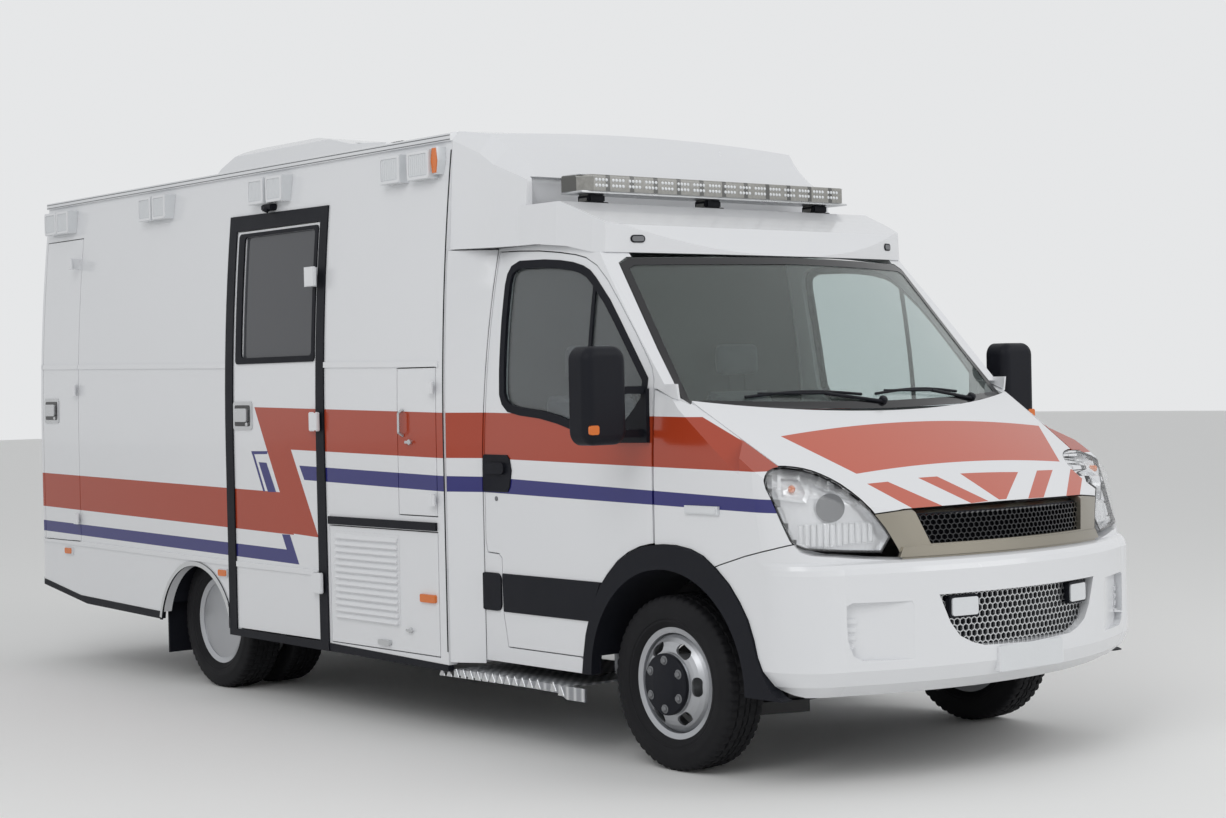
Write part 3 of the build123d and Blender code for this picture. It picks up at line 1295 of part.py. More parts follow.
SEAT_PROFILE = [(1200, FLOOR_TOP_Z + 1), (1600, FLOOR_TOP_Z + 1), (1600, 820), (1680, 840), (1690, 930),
                (1300, 925), (1190, 1500), (1180, 1720), (1110, 1720), (1085, 1500), (1150, 840), (1200, 820)]
SEAT_Y = ((180.0, 660.0), (-760.0, -180.0))
with BuildPart() as seats:
    for y_range in SEAT_Y:
        add(prism_xz(SEAT_PROFILE, *y_range))
save(seats, "seats")

ENGINE = ((2290.0, 2900.0), (-300.0, 300.0), (525.0, 1080.0))
GEARBOX = ((1500.0, 2275.0), (-180.0, 180.0), (330.0, 520.0))
SHAFT_Z = 425.0
SHAFT_REAR_X = REAR_AXLE_X + 172
with BuildPart() as powertrain:
    add(block(*ENGINE))
    add(block(*GEARBOX))
    add(block((2270, 2295), (-200, 200), (330, 700)))
    with BuildSketch(Plane.YZ.offset(SHAFT_REAR_X)):
        with Locations((0, SHAFT_Z)):
            Circle(40)
    extrude(amount=GEARBOX[0][0] - SHAFT_REAR_X)
save(powertrain, "powertrain")
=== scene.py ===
from contextlib import contextmanager
from math import atan2, cos, pi, radians, sin, sqrt

import bmesh
import bpy
from mathutils import Matrix, Vector
from mathutils.bvhtree import BVHTree
from mathutils.geometry import tessellate_polygon


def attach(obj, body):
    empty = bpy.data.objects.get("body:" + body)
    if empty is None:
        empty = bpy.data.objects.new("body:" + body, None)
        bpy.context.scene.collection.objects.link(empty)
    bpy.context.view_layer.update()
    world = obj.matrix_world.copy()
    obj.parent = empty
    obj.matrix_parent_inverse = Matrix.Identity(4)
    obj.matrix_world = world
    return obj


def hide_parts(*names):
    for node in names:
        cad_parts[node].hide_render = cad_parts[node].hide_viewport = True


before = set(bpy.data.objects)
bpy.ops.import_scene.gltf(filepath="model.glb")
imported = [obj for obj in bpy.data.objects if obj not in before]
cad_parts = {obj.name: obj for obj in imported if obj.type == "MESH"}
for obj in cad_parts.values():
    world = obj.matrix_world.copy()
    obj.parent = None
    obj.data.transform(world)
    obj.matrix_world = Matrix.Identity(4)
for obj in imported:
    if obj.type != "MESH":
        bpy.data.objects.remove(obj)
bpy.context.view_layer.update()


def new_object(name, data):
    thing = bpy.data.objects.new(name, data)
    bpy.context.scene.collection.objects.link(thing)
    return thing


# ------------------------------------------------------------------ camera
PHOTO_W = 1226
FOCAL_PX = 2137.97
SENSOR_W = 36.0
CAM_AT = Vector((8.5089, -6.4615, 1.5353))
AZ, PITCH, ROLL = radians(50.2745), radians(-0.738), radians(-1.2384)
look = Vector((-sin(AZ) * cos(PITCH), cos(AZ) * cos(PITCH), sin(PITCH)))
right = Vector((cos(AZ), sin(AZ), 0))
up = right.cross(look)
right_r = right * cos(ROLL) + up * sin(ROLL)
up_r = up * cos(ROLL) - right * sin(ROLL)
cam_data = bpy.data.cameras.new("camera")
cam_data.sensor_width = SENSOR_W
cam_data.lens = FOCAL_PX / PHOTO_W * SENSOR_W
cam_data.clip_end = 200
cam = new_object("camera", cam_data)
cam.matrix_world = Matrix.Translation(CAM_AT) @ Matrix((right_r, up_r, -look)).transposed().to_4x4()
bpy.context.scene.camera = cam

# ------------------------------------------------------------------ shader helpers
def new_material(name):
    mat = bpy.data.materials.new(name)
    mat.use_nodes = True
    return mat, mat.node_tree, mat.node_tree.nodes["Principled BSDF"]


def set_inputs(node, values):
    for name, value in values.items():
        node.inputs[name].default_value = value


def add_node(tree, kind, vector=None, **inputs):
    """New shader node with its inputs set, which reads a vector where one is given."""
    node = tree.nodes.new("ShaderNode" + kind)
    set_inputs(node, inputs)
    if vector is not None:
        tree.links.new(vector, node.inputs["Vector"])
    return node


def object_point(tree):
    return add_node(tree, "TexCoord").outputs["Object"]


def math_node(tree, op, a, b):
    node = add_node(tree, "Math")
    node.operation = op
    for socket, value in zip(node.inputs, (a, b)):
        if isinstance(value, (int, float)):
            socket.default_value = value
        else:
            tree.links.new(value, socket)
    return node.outputs[0]


def noise(tree, scale, detail=2.0):
    """Noise in the object's own metres."""
    return add_node(tree, "TexNoise", object_point(tree), Scale=scale, Detail=detail).outputs["Fac"]


def spread(tree, factor, low, high):
    """Factor of 0 to 1 mapped onto a range."""
    node = add_node(tree, "MapRange", **{"To Min": low, "To Max": high})
    tree.links.new(factor, node.inputs["Value"])
    return node.outputs["Result"]


def mix_colour(tree, factor, a, b):
    node = add_node(tree, "Mix")
    node.data_type = "RGBA"
    tree.links.new(factor, node.inputs["Factor"])
    for socket, value in ((node.inputs["A"], a), (node.inputs["B"], b)):
        if isinstance(value, tuple):
            socket.default_value = (*value, 1)
        else:
            tree.links.new(value, socket)
    return node.outputs["Result"]


def bump(tree, bsdf, height, strength, distance):
    node = add_node(tree, "Bump", Strength=strength, Distance=distance)
    tree.links.new(height, node.inputs["Height"])
    tree.links.new(node.outputs["Normal"], bsdf.inputs["Normal"])


def finish_material(name, colour, rough, metallic=0.0, coat=0.0, grain=(600, 0.15, 0.0004), vary=0.06,
                    gloss=0.5):
    """Opaque finish: slight colour change, uneven roughness and a fine surface grain."""
    mat, tree, bsdf = new_material(name)
    dark = tuple(c * (1 - vary) for c in colour)
    tree.links.new(mix_colour(tree, noise(tree, 3.0), dark, colour), bsdf.inputs["Base Color"])
    tree.links.new(spread(tree, noise(tree, 9.0, 4), rough * 0.8, min(1, rough * 1.25)),
                   bsdf.inputs["Roughness"])
    set_inputs(bsdf, {"Metallic": metallic, "Coat Weight": coat, "Coat Roughness": 0.04,
                      "Specular IOR Level": gloss})
    scale, strength, distance = grain
    bump(tree, bsdf, noise(tree, scale, 3), strength, distance)
    return mat


def glass_material(name, colour, rough, transmission, alpha=1.0, gloss=0.5):
    mat, tree, bsdf = new_material(name)
    set_inputs(bsdf, {"Base Color": (*colour, 1), "Transmission Weight": transmission, "IOR": 1.45,
                      "Specular IOR Level": gloss, "Alpha": alpha})
    tree.links.new(spread(tree, noise(tree, 12.0, 3), rough * 0.6, rough * 1.4), bsdf.inputs["Roughness"])
    return mat


# ------------------------------------------------------------------ livery
WHITE = (0.80, 0.81, 0.83)
ORANGE = (0.41, 0.050, 0.017)
CORAL = (0.55, 0.085, 0.035)
INDIGO = (0.026, 0.026, 0.175)
# Convex outlines seen from the side, x and z in metres: colour, outline.
SIDE_STRIPES = [
    (ORANGE, [(-0.706, 1.448), (0.905, 1.416), (0.905, 1.217), (-0.368, 1.241), (-0.55, 1.27)]),
    (ORANGE, [(-0.706, 1.448), (-0.368, 1.245), (-0.134, 0.829), (-0.372, 0.838)]),
    (ORANGE, [(-3.13, 1.080), (-0.470, 1.035), (-0.355, 0.832), (-0.477, 0.834), (-3.13, 0.887)]),
    (INDIGO, [(-0.295, 1.167), (0.905, 1.141), (0.905, 1.072), (-0.252, 1.098)]),
    (INDIGO, [(-3.13, 0.807), (-0.374, 0.759), (-0.313, 0.692), (-3.13, 0.745)]),
    (INDIGO, [(-0.469, 0.832), (-0.394, 0.833), (-0.313, 0.692), (-0.395, 0.700)]),
    (INDIGO, [(-0.742, 1.231), (-0.582, 1.233), (-0.589, 1.217), (-0.735, 1.214)]),
    (INDIGO, [(-0.742, 1.231), (-0.711, 1.214), (-0.615, 1.034), (-0.636, 1.034)]),
    (INDIGO, [(-0.674, 1.178), (-0.597, 1.176), (-0.512, 1.034), (-0.591, 1.032)]),
]
CAB_STRIPES = [
    (ORANGE, [(0.905, 1.416), (2.408, 1.392), (2.806, 1.186), (2.157, 1.197), (0.905, 1.217)]),
    (INDIGO, [(0.905, 1.141), (2.829, 1.086), (2.860, 1.035), (0.905, 1.072)]),
]
# Bonnet panel and chevrons seen from above, x and y in metres:
# photo points cast onto the bonnet by a scratch script.
BONNET_STRIPES = [
    (CORAL, [(2.596, -0.714), (2.585, 0.848), (2.842, 0.664), (2.849, -0.561)]),
    (CORAL, [(2.905, -0.566), (2.911, -0.457), (3.074, -0.326), (3.065, -0.484)]),
    (CORAL, [(2.912, -0.289), (2.916, -0.183), (3.075, -0.065), (3.077, -0.170)]),
    (CORAL, [(2.911, -0.044), (2.917, 0.305), (3.072, 0.043), (3.072, -0.001)]),
    (CORAL, [(2.907, 0.433), (2.900, 0.545), (3.073, 0.269), (3.076, 0.168)]),
    (CORAL, [(2.890, 0.670), (2.883, 0.769), (3.061, 0.512), (3.067, 0.416)]),
]
STRIPE_EDGE = 0.0012


def edges_of(outline):
    """Pairs of neighbouring points round a closed outline."""
    return list(zip(outline, outline[1:] + outline[:1]))


def turning(outline):
    """1 for an outline that runs anticlockwise, and -1 for clockwise."""
    return 1 if sum(a[0] * b[1] - b[0] * a[1] for a, b in edges_of(outline)) > 0 else -1


def inside(tree, point, outline, axes):
    """1 inside a convex outline and 0 outside, from distances to its edges."""
    turn = turning(outline)
    nearest = None
    for a, b in edges_of(outline):
        run = Vector((b[0] - a[0], b[1] - a[1])).normalized()
        normal = [0.0, 0.0, 0.0]
        normal[axes[0]], normal[axes[1]] = -run.y * turn, run.x * turn
        dot = add_node(tree, "VectorMath")
        dot.operation = "DOT_PRODUCT"
        dot.inputs[1].default_value = normal
        tree.links.new(point, dot.inputs[0])
        offset = normal[axes[0]] * a[0] + normal[axes[1]] * a[1]
        gap = math_node(tree, "SUBTRACT", dot.outputs["Value"], offset)
        nearest = gap if nearest is None else math_node(tree, "MINIMUM", nearest, gap)
    clamp = add_node(tree, "Clamp")
    tree.links.new(math_node(tree, "DIVIDE", nearest, STRIPE_EDGE), clamp.inputs["Value"])
    return clamp.outputs["Result"]


def livery(name, stripes, axes, rough=0.16):
    """White enamel with coloured film stripes under a clear coat."""
    mat, tree, bsdf = new_material(name)
    point = object_point(tree)
    colour = mix_colour(tree, noise(tree, 1.6), tuple(c * 0.97 for c in WHITE), WHITE)
    for stripe, outline in stripes:
        mask = inside(tree, point, outline, axes)
        colour = mix_colour(tree, mask, colour, stripe)
    tree.links.new(colour, bsdf.inputs["Base Color"])
    tree.links.new(spread(tree, noise(tree, 5.0, 4), rough * 0.75, rough * 1.3), bsdf.inputs["Roughness"])
    set_inputs(bsdf, {"Coat Weight": 0.25, "Coat Roughness": 0.03})
    bump(tree, bsdf, noise(tree, 2.2, 1), 0.03, 0.002)
    return mat


# ------------------------------------------------------------------ surfaces of the body, in metres
CAB_HALF_W, CAB_CURVE_Z, CAB_CURVE_R = 0.998, 1.100, 4.630
BOX_HALF_W, BOX_CURVE_Z, BOX_CURVE_R = 1.100, 1.250, 11.100
NOSE_X, NOSE_R, CORNER_X, CORNER_Y, CORNER_R = 3.220, 1.850, 2.784, 0.698, 0.300
NOSE_BASE_Z, NOSE_STEP, NOSE_RAKE = 0.852, 0.043, 0.178
REAR_SKIN_X, REAR_LAMP_X, MIRROR_X, PLATE_X = -3.120, -3.145, 2.0655, 3.218
SIDES = {"left": 1, "right": -1}


def side_y(z, half_w, curve_z, curve_r):
    if z <= curve_z:
        return half_w
    return half_w - curve_r + sqrt(curve_r**2 - (z - curve_z) ** 2)


def box_skin(side):
    """Point on a box side from x, z and a height over the skin."""
    return lambda x, z, h: (x, side * (side_y(z, BOX_HALF_W, BOX_CURVE_Z, BOX_CURVE_R) + h), z)


def cab_skin(side):
    return lambda x, z, h: (x, side * (side_y(z, CAB_HALF_W, CAB_CURVE_Z, CAB_CURVE_R) + h), z)


def side_plane(side, y):
    """Point over a flat side wall from x, z and a height over it."""
    return lambda x, z, h: (x, side * (y + h), z)


def end_plane(x, facing):
    """Point over a flat end wall from y, z and a height over it."""
    return lambda y, z, h: (x + facing * h, y, z)


def span(side, a, b):
    """Range between two distances from the centre, on one side."""
    return sorted((side * a, side * b))


def nose_x(y, z):
    """Front surface of the cab at a distance y from the centre and a height z."""
    back = 0 if z < 0.83 else NOSE_STEP + max(0, z - NOSE_BASE_Z) * NOSE_RAKE
    centre = NOSE_X - NOSE_R
    joint = NOSE_R * sin(atan2(CORNER_Y, CORNER_X - centre))
    if abs(y) <= joint:
        return centre + sqrt(NOSE_R**2 - y**2) - back
    return CORNER_X + sqrt(max(0, CORNER_R**2 - (abs(y) - CORNER_Y) ** 2)) - back


def nose_skin(y, z, h):
    return (nose_x(y, z) + h, y, z)


def cast_skin(node, axis, across):
    """Point on a CAD node's outside, found along an axis, from two distances across that axis."""
    mesh = bpy.data.objects[node].data
    tree = BVHTree.FromPolygons([v.co for v in mesh.vertices], [p.vertices for p in mesh.polygons])
    axis = Vector(axis).normalized()
    across = Vector(across).normalized()

    def place(a, b, h):
        start = across * a + Vector((0, 0, b)) + axis * 5
        hit = tree.ray_cast(start, -axis)[0]
        if hit is None:
            near = tree.find_nearest(start - axis * 2.4)[0]
            hit = across * a + Vector((0, 0, b)) + axis * near.dot(axis)
        return hit + axis * h
    return place


# ------------------------------------------------------------------ mesh builders
SHARP_DEGREES = 35


def mesh_of(bm, name):
    mesh = bpy.data.meshes.new(name)
    bm.to_mesh(mesh)
    bm.free()
    return mesh


def finish_piece(bm, name, mat, body="chassis", smooth=True):
    bmesh.ops.recalc_face_normals(bm, faces=bm.faces)
    mesh = mesh_of(bm, name)
    for face in mesh.polygons:
        face.use_smooth = smooth
    if smooth:
        mesh.set_sharp_from_angle(angle=radians(SHARP_DEGREES))
    piece = new_object(name, mesh)
    mesh.materials.append(mat)
    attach(piece, body)
    return piece


@contextmanager
def piece_mesh(name, mat, slot, body="chassis", smooth=True):
    """Mesh to build in, which is finished as a piece at the end of the block."""
    bm = bmesh.new()
    yield bm
    finish_piece(bm, name, mat, body, smooth)


def bridge(part, rings, closed=False):
    """Faces from each ring to the next, and from the last to the first where closed."""
    count = len(rings[0])
    for one, two in zip(rings, rings[1:] + (rings[:1] if closed else [])):
        for n in range(count):
            part.faces.new((one[n], one[(n + 1) % count], two[(n + 1) % count], two[n]))


def add_relief(bm, loops, place, low, high, step=0.06, soft=0.0):
    """Closed plate over a surface: an outline, with holes, between two heights over it."""
    part = bmesh.new()
    flat = [Vector((a, b, 0)) for loop in loops for a, b in loop]
    verts = [part.verts.new(v) for v in flat]
    for tri in tessellate_polygon([[Vector((a, b, 0)) for a, b in loop] for loop in loops]):
        part.faces.new([verts[i] for i in tri])
    for axis in (0, 1):
        values = [v[axis] for v in flat]
        count = int((max(values) - min(values)) / step)
        for k in range(1, count + 1):
            at = Vector((0, 0, 0))
            at[axis] = min(values) + k * (max(values) - min(values)) / (count + 1)
            normal = Vector((1, 0, 0)) if axis == 0 else Vector((0, 1, 0))
            bmesh.ops.bisect_plane(part, geom=part.verts[:] + part.edges[:] + part.faces[:],
                                   plane_co=at, plane_no=normal)
    made = bmesh.ops.extrude_face_region(part, geom=part.faces[:], use_keep_orig=True)
    top = [g for g in made["geom"] if isinstance(g, bmesh.types.BMVert)]
    for v in top:
        v.co.z = 1
    bmesh.ops.recalc_face_normals(part, faces=part.faces)
    if soft:
        edges = [e for e in part.edges if e.verts[0].co.z > 0.5 and e.verts[1].co.z > 0.5
                 and any(abs(f.normal.z) < 0.5 for f in e.link_faces)]
        height = abs(high - low)
        for v in part.verts:
            v.co.z *= height
        bmesh.ops.bevel(part, geom=edges, offset=soft, segments=3, affect="EDGES", clamp_overlap=True)
        for v in part.verts:
            v.co.z /= height
    for v in part.verts:
        v.co = place(v.co.x, v.co.y, low + (high - low) * v.co.z)
    merge(bm, part)


def merge(bm, part):
    mesh = mesh_of(part, "part")
    bm.from_mesh(mesh)
    bpy.data.meshes.remove(mesh)


def add_box(bm, low, high, soft=0.004):
    part = bmesh.new()
    bmesh.ops.create_cube(part, size=1)
    for v in part.verts:
        v.co = [low[i] + (v.co[i] + 0.5) * (high[i] - low[i]) for i in range(3)]
    if soft:
        bmesh.ops.bevel(part, geom=part.edges[:], offset=soft, segments=2, affect="EDGES")
    merge(bm, part)


def add_turned(bm, profile, at, axis, steps=48):
    """Solid of revolution: profile of radius and height along an axis from a point."""
    axis = Vector(axis).normalized()
    side = axis.orthogonal().normalized()
    other = axis.cross(side)
    part = bmesh.new()
    rings = []
    for r, h in profile:
        ring = []
        for k in range(steps):
            turn = 2 * pi * k / steps
            ring.append(part.verts.new(Vector(at) + axis * h + (side * cos(turn) + other * sin(turn)) * r))
        rings.append(ring)
    bridge(part, rings)
    part.faces.new(rings[0])
    part.faces.new(rings[-1])
    bmesh.ops.remove_doubles(part, verts=part.verts[:], dist=1e-6)
    merge(bm, part)


def add_rod(bm, points, radius, steps=10):
    """Round bar through points."""
    for a, b in zip(points, points[1:]):
        run = Vector(b) - Vector(a)
        add_turned(bm, [(radius, 0), (radius, run.length)], a, run, steps)


def rounded(x_low, x_high, z_low, z_high, r, steps=5):
    """Rectangle with round corners."""
    corners = [(x_high - r, z_high - r, 0), (x_low + r, z_high - r, 90), (x_low + r, z_low + r, 180),
               (x_high - r, z_low + r, 270)]
    return [(cx + r * cos(radians(start + 90 * k / steps)), cz + r * sin(radians(start + 90 * k / steps)))
            for cx, cz, start in corners for k in range(steps + 1)]


def moved(outline, amount):
    """Closed outline moved outwards, or inwards by a negative amount."""
    turn = turning(outline)
    result = []
    for before, here, after in zip(outline[-1:] + outline[:-1], outline, outline[1:] + outline[:1]):
        one = (Vector(here) - Vector(before)).normalized()
        two = (Vector(after) - Vector(here)).normalized()
        out_one = Vector((one.y, -one.x)) * turn
        out_two = Vector((two.y, -two.x)) * turn
        mean = (out_one + out_two).normalized()
        stretch = min(1.6, 1 / max(0.3, mean.dot(out_one)))
        result.append(tuple(Vector(here) + mean * amount * stretch))
    return result


# ------------------------------------------------------------------ materials
white = livery("white_enamel", [], (0, 2))
side_livery = livery("side_livery", SIDE_STRIPES, (0, 2))
cab_livery = livery("cab_livery", CAB_STRIPES, (0, 2))
bonnet_livery = livery("bonnet_livery", BONNET_STRIPES, (0, 1))
moulded_white = finish_material("moulded_white", (0.79, 0.80, 0.82), 0.24, coat=0.4,
                                grain=(700, 0.04, 0.0003),
                                vary=0.03)
rubber = finish_material("rubber", (0.010, 0.011, 0.016), 0.50, grain=(900, 0.3, 0.0005), vary=0.3,
                         gloss=0.14)
plastic = finish_material("dark_plastic", (0.012, 0.013, 0.018), 0.46, grain=(1400, 0.35, 0.0006), vary=0.2,
                          gloss=0.14)
gloss_black = finish_material("gloss_black", (0.007, 0.007, 0.009), 0.14, coat=0.2, grain=(300, 0.05, 0.0003))
frame_black = finish_material("frame_black", (0.030, 0.030, 0.032), 0.5, grain=(300, 0.3, 0.001), vary=0.4)
cast = finish_material("cast_iron", (0.10, 0.10, 0.10), 0.6, metallic=0.6, grain=(200, 0.5, 0.002), vary=0.35)
rim_steel = finish_material("rim_steel", (0.46, 0.47, 0.49), 0.34, metallic=0.75, grain=(500, 0.12, 0.0004))
chrome = finish_material("chrome", (0.72, 0.73, 0.74), 0.12, metallic=1.0, grain=(300, 0.03, 0.0002),
                         vary=0.04)
bronze = finish_material("grille_frame", (0.30, 0.275, 0.225), 0.30, metallic=0.75, coat=0.4,
                         grain=(900, 0.1, 0.0003))
mesh_silver = finish_material("mesh_silver", (0.62, 0.63, 0.64), 0.28, metallic=0.85,
                              grain=(600, 0.1, 0.0003))
reflector = finish_material("reflector", (0.86, 0.87, 0.89), 0.16, metallic=0.45, grain=(60, 0.2, 0.002),
                            vary=0.10)
lens_white = finish_material("lens_white", (0.74, 0.76, 0.78), 0.16, coat=0.6, grain=(90, 0.3, 0.002))
amber = finish_material("amber", (0.75, 0.17, 0.01), 0.18, coat=0.5, grain=(250, 0.3, 0.001))
red_lens = finish_material("red_lens", (0.50, 0.012, 0.012), 0.16, coat=0.5, grain=(250, 0.3, 0.001))
trim_metal = finish_material("trim_metal", (0.20, 0.205, 0.215), 0.42, metallic=0.6, grain=(500, 0.3, 0.0006))
tyre_rubber = finish_material("tyre_rubber", (0.012, 0.012, 0.014), 0.66, grain=(500, 0.3, 0.0008), vary=0.25,
                              gloss=0.2)
clear_lens = glass_material("clear_lens", (0.96, 0.97, 0.98), 0.02, 0.5, alpha=0.16)
tint = glass_material("tinted_glass", (0.075, 0.078, 0.086), 0.05, 0.05)
cab_tint = glass_material("cab_glass", (0.72, 0.77, 0.79), 0.01, 0.94, gloss=0.3)
screen_tint = glass_material("screen_glass", (0.70, 0.79, 0.76), 0.01, 0.96, gloss=0.08)
interior = finish_material("interior_grey", (0.030, 0.031, 0.035), 0.6, grain=(900, 0.35, 0.0006), vary=0.15)


def chequer_material():
    mat, tree, bsdf = new_material("chequer_plate")
    point = object_point(tree)
    wave = []
    for turn in (45, -45):
        turned = add_node(tree, "Mapping", point, Rotation=(0, 0, radians(turn))).outputs["Vector"]
        wave.append(add_node(tree, "TexWave", turned, Scale=9.0).outputs["Fac"])
    lugs = math_node(tree, "MULTIPLY", wave[0], wave[1])
    bump(tree, bsdf, lugs, 0.8, 0.003)
    tree.links.new(mix_colour(tree, lugs, (0.34, 0.35, 0.37), (0.78, 0.79, 0.80)), bsdf.inputs["Base Color"])
    tree.links.new(spread(tree, noise(tree, 40, 4), 0.25, 0.5), bsdf.inputs["Roughness"])
    bsdf.inputs["Metallic"].default_value = 0.85
    return mat


def cloth_material():
    mat, tree, bsdf = new_material("seat_cloth")
    point = object_point(tree)
    threads = []
    for axis in ("X", "Y"):
        node = add_node(tree, "TexWave", point, Scale=160.0)
        node.bands_direction = axis
        threads.append(node.outputs["Fac"])
    weave = math_node(tree, "MAXIMUM", threads[0], threads[1])
    bump(tree, bsdf, weave, 0.5, 0.0008)
    tree.links.new(mix_colour(tree, weave, (0.05, 0.055, 0.07), (0.12, 0.13, 0.15)),
                   bsdf.inputs["Base Color"])
    set_inputs(bsdf, {"Roughness": 0.85, "Sheen Weight": 0.3})
    return mat


def led_bar_material():
    """Smoky clear modules side by side."""
    mat, tree, bsdf = new_material("led_bar")
    modules = add_node(tree, "TexWave", object_point(tree), Scale=2.35)
    modules.bands_direction = "Y"
    gaps = math_node(tree, "GREATER_THAN", modules.outputs["Fac"], 0.08)
    shade = mix_colour(tree, noise(tree, 60, 3), (0.20, 0.195, 0.18), (0.36, 0.355, 0.33))
    tree.links.new(mix_colour(tree, gaps, (0.08, 0.08, 0.075), shade), bsdf.inputs["Base Color"])
    tree.links.new(spread(tree, noise(tree, 30, 3), 0.10, 0.22), bsdf.inputs["Roughness"])
    bsdf.inputs["Coat Weight"].default_value = 0.5
    bump(tree, bsdf, modules.outputs["Fac"], 0.1, 0.001)
    return mat


chequer = chequer_material()
cloth = cloth_material()
led_bar = led_bar_material()

NODE_MATERIALS = {
    side_livery: ["box_side_left", "box_side_right", "side_door", "locker_door_upper", "locker_door_lower",
                  "locker_door_rear"],
    cab_livery: ["cab_sides", "wings", "cab_door_left", "cab_door_right", "corner_strips"],
    bonnet_livery: ["bonnet"],
    white: ["rear_door_left", "rear_door_right", "box_rear_frame", "box_front"],
    moulded_white: ["cab_fairing", "front_bumper", "air_unit", "box_roof"],
    plastic: ["arches", "body_trim", "mirror_left", "mirror_right"],
    interior: ["cab_tub", "dashboard", "steering_wheel", "box_floor", "locker_boxes"],
    frame_black: ["chassis_frame", "front_axle", "rear_axle"],
    cast: ["powertrain", "knuckle_left", "knuckle_right"],
    rim_steel: ["front_rim_left", "front_rim_right", "rear_rim_left", "rear_rim_right"],
    bronze: ["grille"],
    chequer: ["steps"],
    led_bar: ["light_bar"],
    lens_white: ["body_lamps"],
    tint: ["side_door_glass", "rear_glass_left", "rear_glass_right"],
    cab_tint: ["door_glass_left", "door_glass_right"],
    screen_tint: ["windscreen"],
}
for material, nodes in NODE_MATERIALS.items():
    for node in nodes:
        slots = bpy.data.objects[node].data.materials
        if len(slots):
            slots[0] = material
        else:
            slots.append(material)

# ------------------------------------------------------------------ wheels
TYRE_R, TYRE_W, RIM_R = 0.345, 0.195, 0.222
FRONT_X, REAR_X, WHEEL_Z = 2.200, -1.300, TYRE_R
FRONT_Y, REAR_OUTER_Y, REAR_INNER_Y, HUB_FACE_Y = 0.860, 0.905, 0.640, 0.775
TREAD_DEPTH = 0.007
TREAD_STEPS = 168


def add_tyre(bm, x, y, facing):
    """Tyre with ribs, cross cuts at the shoulders and raised rings on the wall."""
    half = TYRE_W / 2
    wall = [(RIM_R + 0.001, 0.40), (RIM_R + 0.006, 0.425), (0.240, 0.455), (0.243, 0.470), (0.252, 0.470),
            (0.255, 0.485), (0.276, 0.500), (0.290, 0.500), (0.292, 0.496), (0.312, 0.484), (0.324, 0.470)]
    crown = [(0.336, 0.452, 1), (0.3425, 0.415, 1), (0.3445, 0.36, 1), (TYRE_R, 0.27, 1), (0.338, 0.262, 0),
             (0.338, 0.232, 0), (TYRE_R, 0.224, 2), (TYRE_R, 0.085, 2), (0.338, 0.077, 0), (0.338, 0.047, 0),
             (TYRE_R, 0.039, 2), (TYRE_R, 0.0, 2)]
    half_profile = [(r, w, 0) for r, w in wall] + crown
    profile = [(r, w * TYRE_W, c) for r, w, c in half_profile]
    profile += [(r, -w * TYRE_W, c) for r, w, c in reversed(half_profile[:-1])]
    profile += [(RIM_R - 0.004, -half * 0.72, 0), (RIM_R - 0.004, half * 0.72, 0)]
    part = bmesh.new()
    rings = []
    for r, w, cuts in profile:
        ring = []
        for k in range(TREAD_STEPS):
            turn = 2 * pi * k / TREAD_STEPS
            low = (cuts == 1 and k % 3 == 0) or (cuts == 2 and (k + (1 if w > 0 else 0)) % 4 == 0)
            reach = r - (TREAD_DEPTH if low else 0)
            ring.append(part.verts.new((x + reach * cos(turn), y + facing * w, WHEEL_Z + reach * sin(turn))))
        rings.append(ring)
    bridge(part, rings, closed=True)
    merge(bm, part)


def build_wheels(side_name, side):
    bm = bmesh.new()
    add_tyre(bm, FRONT_X, FRONT_Y * side, side)
    tyre = finish_piece(bm, f"tread_front_{side_name}", tyre_rubber,
                        f"front_wheel_{side_name}")
    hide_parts(f"front_tyre_{side_name}")
    bm = bmesh.new()
    for y in (REAR_OUTER_Y, REAR_INNER_Y):
        add_tyre(bm, REAR_X, y * side, side)
    tyre = finish_piece(bm, f"tread_rear_{side_name}", tyre_rubber, f"rear_wheels_{side_name}")
    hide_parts(f"rear_tyres_{side_name}")


def build_front_cap(side_name, side):
    """Dark centre cap with six nuts."""
    body = f"front_wheel_{side_name}"
    cap_y = FRONT_Y + 0.120
    with piece_mesh(f"cap_{side_name}", plastic, "black_plastic", body) as bm:
        add_turned(bm, [(0.119, -0.016), (0.1215, -0.012), (0.1215, 0.001), (0.117, 0.006), (0.078, 0.009),
                        (0.068, 0.013), (0.054, 0.015), (0.0, 0.016)], (FRONT_X, side * cap_y, WHEEL_Z),
                   (0, side, 0), 64)
    with piece_mesh(f"cap_nuts_{side_name}", trim_metal, "rim_grey", body) as bm:
        for k in range(6):
            turn = radians(60 * k + 30)
            at = (FRONT_X + 0.094 * cos(turn), side * (cap_y + 0.004), WHEEL_Z + 0.094 * sin(turn))
            add_turned(bm, [(0.014, 0), (0.014, 0.010), (0.010, 0.014), (0, 0.015)], at, (0, side, 0), 6)
            add_turned(bm, [(0.019, 0), (0.019, 0.004), (0.014, 0.006)], at, (0, side, 0), 24)


